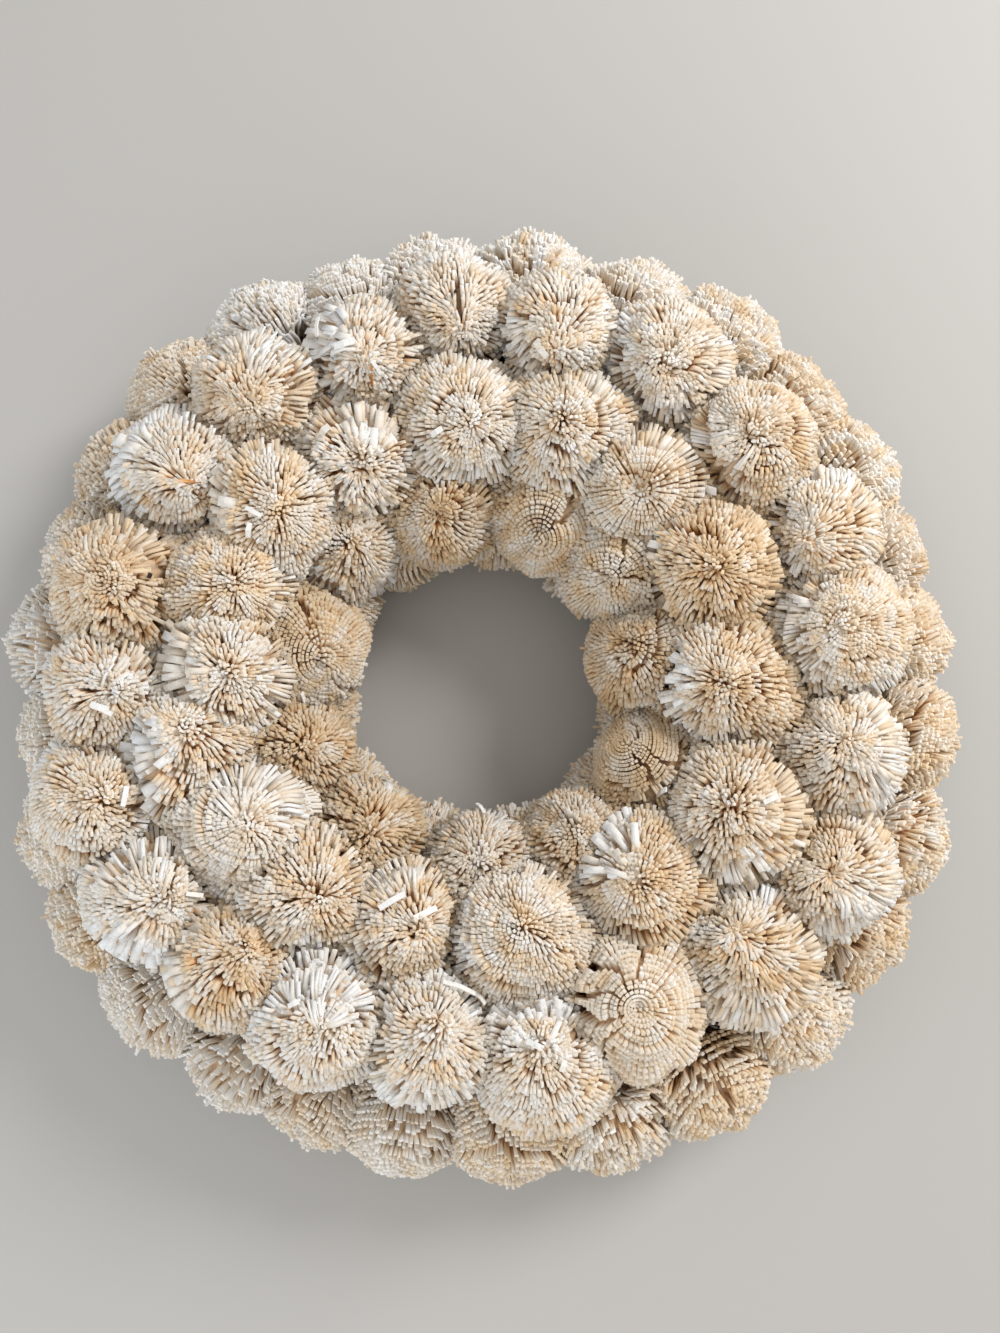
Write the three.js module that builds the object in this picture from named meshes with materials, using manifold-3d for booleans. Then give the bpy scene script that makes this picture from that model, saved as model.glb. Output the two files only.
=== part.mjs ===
// A table wreath of pith pom poms: a ring base of natural fibre, laid flat, with
// eighty-seven domed poms glued round it in five rows. Millimetres, +Z up. The origin
// is on the surface the wreath lies on, under the middle of its outline.
//
// Each pom is a strip of pith, fringed along one edge, rolled up and tied at its neck.
// Its fringe spreads into a dome, and its neck is glued to the base. Here each pom is
// one convex solid: a cone that widens from the neck, with the dome on top. Where two
// poms press on each other they meet at a flat, with a small gap between them.

import * as THREE from 'three';
import { mergeVertices } from 'three/addons/utils/BufferGeometryUtils.js';
import Module from 'manifold-3d';

// ---- driving dimensions ----
const RING_RADIUS = 109;        // centre line of the ring base
const RING_HALF_WIDTH = 37;     // half its width
const RING_HEIGHT = 42;         // its height over the flat underside
const RING_FLAT_HALF = 29;      // half the width of the flat underside
const RING_STEPS = 48;          // facets round the ring base
const CENTRE_X = -0.45;         // middle of the ring base from the origin
const CENTRE_Y = -0.68;
const POM_SIDES = 10;           // facets round one pom
const POM_GAP = 0.34;           // clear gap between two poms that press on each other
const SEAT_GAP = 0.5;           // clear gap between a neck and the base
const FLOOR_CLEARANCE = 1.2;    // the lowest fringe stays this far above the surface

// Side of one pom, in pom radii: [height along its axis, distance from its axis].
const POM_PROFILE = [
  [-1.35, 0.0], [-1.35, 0.22], [-0.22, 0.94], [0.16, 1.0], [0.64, 0.74], [0.94, 0.0],
];

// Section of the ring base: [distance out from its centre line, height].
const RING_SECTION = [
  [-RING_FLAT_HALF, 0], [RING_FLAT_HALF, 0],
  [RING_HALF_WIDTH * 0.95, 6], [RING_HALF_WIDTH, 14], [RING_HALF_WIDTH * 0.95, 24],
  [RING_HALF_WIDTH * 0.74, RING_HEIGHT * 0.82], [RING_HALF_WIDTH * 0.38, RING_HEIGHT * 0.955],
  [0, RING_HEIGHT],
  [-RING_HALF_WIDTH * 0.38, RING_HEIGHT * 0.955], [-RING_HALF_WIDTH * 0.74, RING_HEIGHT * 0.82],
  [-RING_HALF_WIDTH * 0.95, 24], [-RING_HALF_WIDTH, 14], [-RING_HALF_WIDTH * 0.95, 6],
];

// The poms, row by row, anticlockwise seen from above. Each line gives a pom's place
// and lean: [bearing in degrees from +X, distance from the middle of the ring, height of
// the dome's centre, dome radius, lean outwards from upright in degrees, sideways lean].
const OUTER_ROW = [
  [5.3, 152.5, 30, 20.3, 59, 6], [16.8, 152.2, 30, 20.3, 61, -4], [29.1, 155.5, 30, 21.3, 56, 5],
  [41.2, 154.8, 30, 21.1, 53, 4], [53.8, 157.9, 30, 21.6, 61, -0], [66.6, 153, 30, 21.3, 56, -3],
  [81.7, 153.5, 30, 21.9, 56, -1], [96, 152.2, 30, 21.4, 58, 1], [107.7, 152.2, 30, 20.3, 63, 4],
  [120.3, 155.6, 30, 20.9, 59, 7], [134.4, 156.5, 30, 20.4, 55, -5], [147.7, 151.9, 30, 20.3, 59, -6],
  [160.4, 149.7, 30, 20.3, 53, 0], [173.5, 152.5, 30, 20.3, 58, 6], [187, 148, 30, 20.3, 59, 0],
  [199.6, 153.9, 30, 20.3, 58, -4], [210.9, 155.4, 30, 20.3, 53, -4], [223.5, 155.2, 30, 20.8, 60, -4],
  [236.2, 152.3, 30, 20.3, 57, -7], [248.1, 150.8, 30, 20.3, 61, -5], [259.7, 151, 30, 21.9, 56, 5],
  [273.8, 151.1, 30, 21.9, 58, 5], [286.8, 153.9, 30, 21.2, 59, 3], [299.3, 157.1, 30, 21.7, 54, 1],
  [312.5, 157.1, 30, 21.1, 58, 5], [325.5, 156.1, 30, 20.6, 57, 1], [338.2, 156.6, 30, 20.4, 54, -2],
  [352, 153.9, 30, 20.3, 56, -5],
];
const SHOULDER_ROW = [
  [5.8, 125.4, 56.1, 22, 11, -2], [22.2, 129.2, 54.9, 20.5, 13, 1], [39.2, 124.7, 56.2, 22, 9, 2],
  [57.8, 130.1, 54.8, 21, 10, -5], [76.4, 126.9, 55.7, 20.3, 7, -4], [92.8, 133.1, 53.6, 19.3, 7, -6],
  [108.5, 122.6, 56.6, 19.3, 13, -4], [126.7, 126.8, 55.7, 21.6, 10, -3], [144.9, 128.9, 55.1, 21.1, 12, 2],
  [165.1, 126.7, 55.7, 22, 4, 5], [181.6, 126.8, 55.7, 19.4, 12, 6], [197.1, 134.6, 52.9, 21.3, 9, -5],
  [213, 131, 54.4, 21.7, 5, 6], [228.4, 125.8, 55.9, 19.7, 9, -4], [244.3, 123.1, 56.6, 21.5, 12, 2],
  [261.4, 120.6, 57, 20.5, 9, -2], [279, 128.4, 55.1, 21.8, 7, -4], [294.8, 120.8, 57, 21.8, 3, 5],
  [313.1, 129.3, 54.9, 22, 8, 1], [330.3, 135.7, 52.3, 21.2, 6, 4], [346.5, 125.4, 56.1, 20.6, 3, -2],
];
const CROWN_ROW = [
  [24, 88.3, 54, 22, -23, -5], [48.3, 88.8, 54.2, 19.3, -13, 2], [69, 90.7, 54.9, 20.4, -19, 0],
  [92.7, 89.6, 54.6, 21.2, -14, -2], [117.3, 87.3, 53.6, 19.8, -17, 3], [139.9, 91.7, 55.1, 22, -19, 0],
  [159.4, 90.1, 54.8, 19.7, -15, 6], [178.7, 85.4, 52.9, 22, -21, 6], [194, 99.5, 57, 19.5, -23, 4],
  [211.3, 91.1, 55.1, 20.8, -15, -5], [230.3, 90.6, 54.9, 20, -19, 4], [252.2, 84.7, 52.5, 19.3, -23, 2],
  [279.1, 86.8, 53.5, 21.3, -15, 0], [308.1, 86.9, 53.5, 21.1, -16, -4], [330.5, 97.2, 56.6, 22, -21, -2],
  [357.4, 83.9, 52.2, 22, -21, -2],
];
const INNER_ROW = [
  [6.3, 58.5, 40, 19.6, -38, 1], [38.1, 63.4, 40, 19.6, -44, -3], [66.3, 63.2, 40, 19.6, -37, -1],
  [101.5, 63, 40, 19.6, -37, 0], [135.6, 68.1, 40, 19.6, -42, 6], [168.1, 61.4, 40, 19.6, -40, 1],
  [201.4, 68.3, 40, 19.6, -43, 5], [233.8, 66.2, 40, 19.6, -43, 6], [269.9, 64.5, 40, 19.6, -46, -1],
  [300.8, 66.6, 40, 19.6, -42, 6], [332.1, 67.1, 40, 19.6, -44, 4],
];
const HOLE_ROW = [
  [16, 64, 21, 20.2, -76, 3], [49, 64.5, 21, 20.2, -77, 7], [82, 65, 21, 20.2, -80, -1],
  [117, 65.5, 21, 20.2, -81, -6], [151, 66, 21, 20.2, -81, 6], [185.5, 66, 21, 20.2, -75, -5],
  [219.5, 65.5, 21, 20.2, -77, -0], [253, 65, 21, 20.2, -77, 2], [285, 65, 21, 20.2, -80, 6],
  [318, 64.5, 21, 20.2, -78, 2], [349, 64, 21, 20.2, -77, -4],
];

// Poms of one row that stand side by side and are joined at their flanks, by number in
// the row. A row that isn't listed has one solid for each pom.
const OUTER_GROUPS = [[27, 0], [1, 2], [3, 4, 5], [6], [7, 8, 9], [10, 11, 12], [13, 14, 15],
  [16, 17, 18], [19, 20, 21], [22, 23, 24], [25, 26]];
const INNER_GROUPS = [[0, 1, 2], [3], [4, 5], [6], [7], [8, 9, 10]];
const HOLE_GROUPS = [[10, 0], [1, 2], [3, 4], [5, 6], [7, 8, 9]];

const rad = THREE.MathUtils.degToRad;
const wasm = await Module();
wasm.setup();

// ---- solids ----
function toSolid(geometry) {
  const g = geometry.index ? geometry.clone() : geometry;
  g.deleteAttribute('normal');
  g.deleteAttribute('uv');
  const merged = mergeVertices(g, 1e-4);
  return new wasm.Manifold(new wasm.Mesh({
    numProp: 3,
    vertProperties: new Float32Array(merged.attributes.position.array),
    triVerts: new Uint32Array(merged.index.array),
  }));
}

function toGeometry(solid) {
  const mesh = solid.getMesh();
  const g = new THREE.BufferGeometry();
  g.setAttribute('position', new THREE.BufferAttribute(new Float32Array(mesh.vertProperties), 3));
  g.setIndex(new THREE.BufferAttribute(new Uint32Array(mesh.triVerts), 1));
  g.computeVertexNormals();
  return g;
}

// A large block whose one face lies in the plane through point, on the side normal points to.
function blockBeyond(point, normal) {
  const size = 160;
  const g = new THREE.BoxGeometry(size, size, size);
  g.translate(0, 0, size / 2);
  const turn = new THREE.Quaternion().setFromUnitVectors(new THREE.Vector3(0, 0, 1), normal);
  g.applyMatrix4(new THREE.Matrix4().compose(point, turn, new THREE.Vector3(1, 1, 1)));
  return toSolid(g);
}

function ringBase() {
  const points = RING_SECTION.map(([out, z]) => new THREE.Vector2(RING_RADIUS + out, z));
  points.push(points[0].clone());
  const g = new THREE.LatheGeometry(points, RING_STEPS);
  g.rotateX(Math.PI / 2);
  g.translate(CENTRE_X, CENTRE_Y, 0);
  return g;
}

// ---- where the poms stand ----
function readPoms(table, row) {
  return table.map(([bearing, distance, height, radius, lean, side], number) => {
    const a = rad(bearing);
    const out = new THREE.Vector3(Math.cos(a), Math.sin(a), 0);
    const along = new THREE.Vector3(-Math.sin(a), Math.cos(a), 0);
    const axis = new THREE.Vector3(0, 0, 1).multiplyScalar(Math.cos(rad(lean)))
      .addScaledVector(out, Math.sin(rad(lean)))
      .addScaledVector(along, Math.sin(rad(side))).normalize();
    const centre = out.clone().multiplyScalar(distance);
    centre.z = height;
    return { row, number, centre, radius, axis, group: null };
  });
}

// The flat on the ring base that a pom's neck comes down on: where the pom's axis meets
// the section of the base, and the direction that the base faces there.
function seatOf(pom) {
  const step = 0.2;
  for (let t = 0; t < pom.radius * 1.5; t += step) {
    const p = pom.centre.clone().addScaledVector(pom.axis, -t);
    const out = Math.hypot(p.x, p.y) - RING_RADIUS;
    let best = -Infinity;
    let edge = null;
    for (let i = 0; i < RING_SECTION.length; i += 1) {
      const [x0, z0] = RING_SECTION[i];
      const [x1, z1] = RING_SECTION[(i + 1) % RING_SECTION.length];
      const length = Math.hypot(x1 - x0, z1 - z0);
      const nx = (z1 - z0) / length;
      const nz = -(x1 - x0) / length;
      const away = (out - x0) * nx + (p.z - z0) * nz;
      if (away > best) { best = away; edge = [nx, nz]; }
    }
    if (best <= 0) {
      const outward = new THREE.Vector3(p.x, p.y, 0).normalize();
      const normal = outward.multiplyScalar(edge[0]).add(new THREE.Vector3(0, 0, edge[1])).normalize();
      // round the hole the base curves towards the pom, so its flat stands off further
      const spread = pom.radius * Math.min(0.95, 0.94 - (t / pom.radius - 0.22) * 0.64);
      const curve = Math.max(0, -edge[0]) * spread * spread / (2 * Math.hypot(p.x, p.y));
      const gap = SEAT_GAP + curve * 1.3;
      return { point: p.addScaledVector(normal, gap), normal };
    }
  }
  return null;
}

function pomSolid(pom, others) {
  const r = pom.radius;
  const points = POM_PROFILE.map(([up, out]) => new THREE.Vector2(out * r, up * r));
  const g = new THREE.LatheGeometry(points, POM_SIDES);
  const turn = new THREE.Quaternion().setFromUnitVectors(new THREE.Vector3(0, 1, 0), pom.axis);
  g.applyMatrix4(new THREE.Matrix4().compose(pom.centre, turn, new THREE.Vector3(1, 1, 1)));
  let solid = toSolid(g);
  const seat = seatOf(pom);
  if (seat) solid = solid.subtract(blockBeyond(seat.point, seat.normal.clone().negate()));
  const floor = new THREE.Vector3(pom.centre.x, pom.centre.y, FLOOR_CLEARANCE);
  solid = solid.subtract(blockBeyond(floor, new THREE.Vector3(0, 0, -1)));
  for (const other of others) {
    if (other === pom || (other.group === pom.group && other.row === pom.row)) continue;
    const between = other.centre.clone().sub(pom.centre);
    const d = between.length();
    if (d > (r + other.radius) * 1.12) continue;
    between.divideScalar(d);
    const share = (d * d + r * r - other.radius * other.radius) / (2 * d);
    const point = pom.centre.clone().addScaledVector(between, share - POM_GAP / 2);
    solid = solid.subtract(blockBeyond(point, between));
  }
  return solid;
}

// ---- the wreath ----
const wreath = new THREE.Group();

const base = new THREE.Mesh(ringBase(), new THREE.MeshStandardMaterial({
  color: 0x6f4d2e, roughness: 0.95, metalness: 0,
}));
base.name = 'base_ring';
wreath.add(base);

const rows = [
  { name: 'outer_poms', poms: readPoms(OUTER_ROW, 0), groups: OUTER_GROUPS, colour: 0xead4ad },
  { name: 'shoulder_pom', poms: readPoms(SHOULDER_ROW, 1), groups: null, colour: 0xeed9b4 },
  { name: 'crown_pom', poms: readPoms(CROWN_ROW, 2), groups: null, colour: 0xebcfa3 },
  { name: 'inner_poms', poms: readPoms(INNER_ROW, 3), groups: INNER_GROUPS, colour: 0xe3c598 },
  { name: 'hole_poms', poms: readPoms(HOLE_ROW, 4), groups: HOLE_GROUPS, colour: 0xd9bd92 },
];
for (const row of rows) {
  row.groups ??= row.poms.map((pom, i) => [i]);
  row.groups.forEach((members, g) => members.forEach((i) => { row.poms[i].group = g; }));
}
const allPoms = rows.flatMap((row) => row.poms);

for (const row of rows) {
  row.groups.forEach((members, g) => {
    let solid = null;
    for (const i of members) {
      const one = pomSolid(row.poms[i], allPoms);
      solid = solid ? solid.add(one) : one;
    }
    const mesh = new THREE.Mesh(toGeometry(solid), new THREE.MeshStandardMaterial({
      color: row.colour, roughness: 0.9, metalness: 0,
    }));
    mesh.name = `${row.name}_${String(g + 1).padStart(2, '0')}`;
    mesh.position.set(CENTRE_X, CENTRE_Y, 0);
    wreath.add(mesh);
  });
}

export default wreath;
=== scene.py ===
import math

import bpy
import numpy as np
from mathutils import Matrix, Vector


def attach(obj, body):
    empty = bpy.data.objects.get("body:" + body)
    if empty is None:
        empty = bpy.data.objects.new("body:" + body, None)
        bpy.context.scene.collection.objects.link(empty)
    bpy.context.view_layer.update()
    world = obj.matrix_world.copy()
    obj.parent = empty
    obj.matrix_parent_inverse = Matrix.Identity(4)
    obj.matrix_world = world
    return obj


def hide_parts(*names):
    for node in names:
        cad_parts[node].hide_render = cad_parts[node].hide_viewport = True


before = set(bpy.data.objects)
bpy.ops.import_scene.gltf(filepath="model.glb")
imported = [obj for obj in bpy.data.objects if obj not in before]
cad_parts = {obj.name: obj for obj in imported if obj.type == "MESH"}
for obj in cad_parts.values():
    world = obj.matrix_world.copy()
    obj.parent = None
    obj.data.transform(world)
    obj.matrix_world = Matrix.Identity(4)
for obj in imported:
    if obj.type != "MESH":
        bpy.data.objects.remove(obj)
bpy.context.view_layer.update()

MM = 0.001

# ---------------------------------------------------------------- dimensions
# The ring base and the poms, in millimetres, as the CAD model has them.
CENTRE = np.array([-0.45, -0.68, 0.0])
RING_RADIUS, RING_HALF_WIDTH, RING_HEIGHT, RING_FLAT_HALF = 109.0, 37.0, 42.0, 29.0

# bearing, distance, height, dome radius, lean outwards, sideways lean
OUTER = [
    (5.3, 152.5, 30, 20.3, 59, 6), (16.8, 152.2, 30, 20.3, 61, -4),
    (29.1, 155.5, 30, 21.3, 56, 5), (41.2, 154.8, 30, 21.1, 53, 4),
    (53.8, 157.9, 30, 21.6, 61, -0), (66.6, 153, 30, 21.3, 56, -3),
    (81.7, 153.5, 30, 21.9, 56, -1), (96, 152.2, 30, 21.4, 58, 1),
    (107.7, 152.2, 30, 20.3, 63, 4), (120.3, 155.6, 30, 20.9, 59, 7),
    (134.4, 156.5, 30, 20.4, 55, -5), (147.7, 151.9, 30, 20.3, 59, -6),
    (160.4, 149.7, 30, 20.3, 53, 0), (173.5, 152.5, 30, 20.3, 58, 6),
    (187, 148, 30, 20.3, 59, 0), (199.6, 153.9, 30, 20.3, 58, -4),
    (210.9, 155.4, 30, 20.3, 53, -4), (223.5, 155.2, 30, 20.8, 60, -4),
    (236.2, 152.3, 30, 20.3, 57, -7), (248.1, 150.8, 30, 20.3, 61, -5),
    (259.7, 151, 30, 21.9, 56, 5), (273.8, 151.1, 30, 21.9, 58, 5),
    (286.8, 153.9, 30, 21.2, 59, 3), (299.3, 157.1, 30, 21.7, 54, 1),
    (312.5, 157.1, 30, 21.1, 58, 5), (325.5, 156.1, 30, 20.6, 57, 1),
    (338.2, 156.6, 30, 20.4, 54, -2), (352, 153.9, 30, 20.3, 56, -5),
]
SHOULDER = [
    (5.8, 125.4, 56.1, 22, 11, -2), (22.2, 129.2, 54.9, 20.5, 13, 1),
    (39.2, 124.7, 56.2, 22, 9, 2), (57.8, 130.1, 54.8, 21, 10, -5),
    (76.4, 126.9, 55.7, 20.3, 7, -4), (92.8, 133.1, 53.6, 19.3, 7, -6),
    (108.5, 122.6, 56.6, 19.3, 13, -4), (126.7, 126.8, 55.7, 21.6, 10, -3),
    (144.9, 128.9, 55.1, 21.1, 12, 2), (165.1, 126.7, 55.7, 22, 4, 5),
    (181.6, 126.8, 55.7, 19.4, 12, 6), (197.1, 134.6, 52.9, 21.3, 9, -5),
    (213, 131, 54.4, 21.7, 5, 6), (228.4, 125.8, 55.9, 19.7, 9, -4),
    (244.3, 123.1, 56.6, 21.5, 12, 2), (261.4, 120.6, 57, 20.5, 9, -2),
    (279, 128.4, 55.1, 21.8, 7, -4), (294.8, 120.8, 57, 21.8, 3, 5),
    (313.1, 129.3, 54.9, 22, 8, 1), (330.3, 135.7, 52.3, 21.2, 6, 4),
    (346.5, 125.4, 56.1, 20.6, 3, -2),
]
CROWN = [
    (24, 88.3, 54, 22, -23, -5), (48.3, 88.8, 54.2, 19.3, -13, 2),
    (69, 90.7, 54.9, 20.4, -19, 0), (92.7, 89.6, 54.6, 21.2, -14, -2),
    (117.3, 87.3, 53.6, 19.8, -17, 3), (139.9, 91.7, 55.1, 22, -19, 0),
    (159.4, 90.1, 54.8, 19.7, -15, 6), (178.7, 85.4, 52.9, 22, -21, 6),
    (194, 99.5, 57, 19.5, -23, 4), (211.3, 91.1, 55.1, 20.8, -15, -5),
    (230.3, 90.6, 54.9, 20, -19, 4), (252.2, 84.7, 52.5, 19.3, -23, 2),
    (279.1, 86.8, 53.5, 21.3, -15, 0), (308.1, 86.9, 53.5, 21.1, -16, -4),
    (330.5, 97.2, 56.6, 22, -21, -2), (357.4, 83.9, 52.2, 22, -21, -2),
]
INNER = [
    (6.3, 58.5, 40, 19.6, -38, 1), (38.1, 63.4, 40, 19.6, -44, -3),
    (66.3, 63.2, 40, 19.6, -37, -1), (101.5, 63, 40, 19.6, -37, 0),
    (135.6, 68.1, 40, 19.6, -42, 6), (168.1, 61.4, 40, 19.6, -40, 1),
    (201.4, 68.3, 40, 19.6, -43, 5), (233.8, 66.2, 40, 19.6, -43, 6),
    (269.9, 64.5, 40, 19.6, -46, -1), (300.8, 66.6, 40, 19.6, -42, 6),
    (332.1, 67.1, 40, 19.6, -44, 4),
]
HOLE = [
    (16, 64, 21, 20.2, -76, 3), (49, 64.5, 21, 20.2, -77, 7),
    (82, 65, 21, 20.2, -80, -1), (117, 65.5, 21, 20.2, -81, -6),
    (151, 66, 21, 20.2, -81, 6), (185.5, 66, 21, 20.2, -75, -5),
    (219.5, 65.5, 21, 20.2, -77, -0), (253, 65, 21, 20.2, -77, 2),
    (285, 65, 21, 20.2, -80, 6), (318, 64.5, 21, 20.2, -78, 2),
    (349, 64, 21, 20.2, -77, -4),
]
OUTER_GROUPS = [[27, 0], [1, 2], [3, 4, 5], [6], [7, 8, 9], [10, 11, 12], [13, 14, 15],
                [16, 17, 18], [19, 20, 21], [22, 23, 24], [25, 26]]
INNER_GROUPS = [[0, 1, 2], [3], [4, 5], [6], [7], [8, 9, 10]]
HOLE_GROUPS = [[10, 0], [1, 2], [3, 4], [5, 6], [7, 8, 9]]


def unit(v):
    v = np.asarray(v, float)
    return v / np.maximum(np.linalg.norm(v, axis=-1, keepdims=True), 1e-9)


class Pom:
    def __init__(self, row, number, line, node, r_grow):
        bearing, dist, height, radius, lean, side = line
        a, ln, sd = math.radians(bearing), math.radians(lean), math.radians(side)
        out = np.array([math.cos(a), math.sin(a), 0.0])
        along = np.array([-math.sin(a), math.cos(a), 0.0])
        self.axis = unit(np.array([0, 0, math.cos(ln)]) + out * math.sin(ln) + along * math.sin(sd))
        self.c = CENTRE + out * dist + np.array([0, 0, height])
        self.R = radius * r_grow
        self.row, self.number, self.node, self.out, self.bearing = row, number, node, out, bearing
        self.name = f"{row}_pom_{number + 1:02d}"
        # x runs to the right of the picture on the dome, y to its top
        x = np.array([1.0, 0, 0]) - self.axis * self.axis[0]
        if np.linalg.norm(x) < 0.35:
            x = np.array([0, 1.0, 0]) - self.axis * self.axis[1]
            x = np.cross(x, self.axis)
        self.x = unit(x)
        self.y = np.cross(self.axis, self.x)


def make_poms():
    poms = []
    for row, table, groups, label, grow in (
            ("outer", OUTER, OUTER_GROUPS, "outer_poms", 1.0),
            ("shoulder", SHOULDER, None, "shoulder_pom", 1.0),
            ("crown", CROWN, None, "crown_pom", 1.0),
            ("inner", INNER, INNER_GROUPS, "inner_poms", 1.0),
            ("hole", HOLE, HOLE_GROUPS, "hole_poms", 1.0)):
        groups = groups or [[i] for i in range(len(table))]
        of = {i: f"{label}_{g + 1:02d}" for g, members in enumerate(groups) for i in members}
        poms += [Pom(row, i, line, of[i], grow) for i, line in enumerate(table)]
    return poms


POMS = make_poms()
BY_NAME = {p.name: p for p in POMS}

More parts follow.
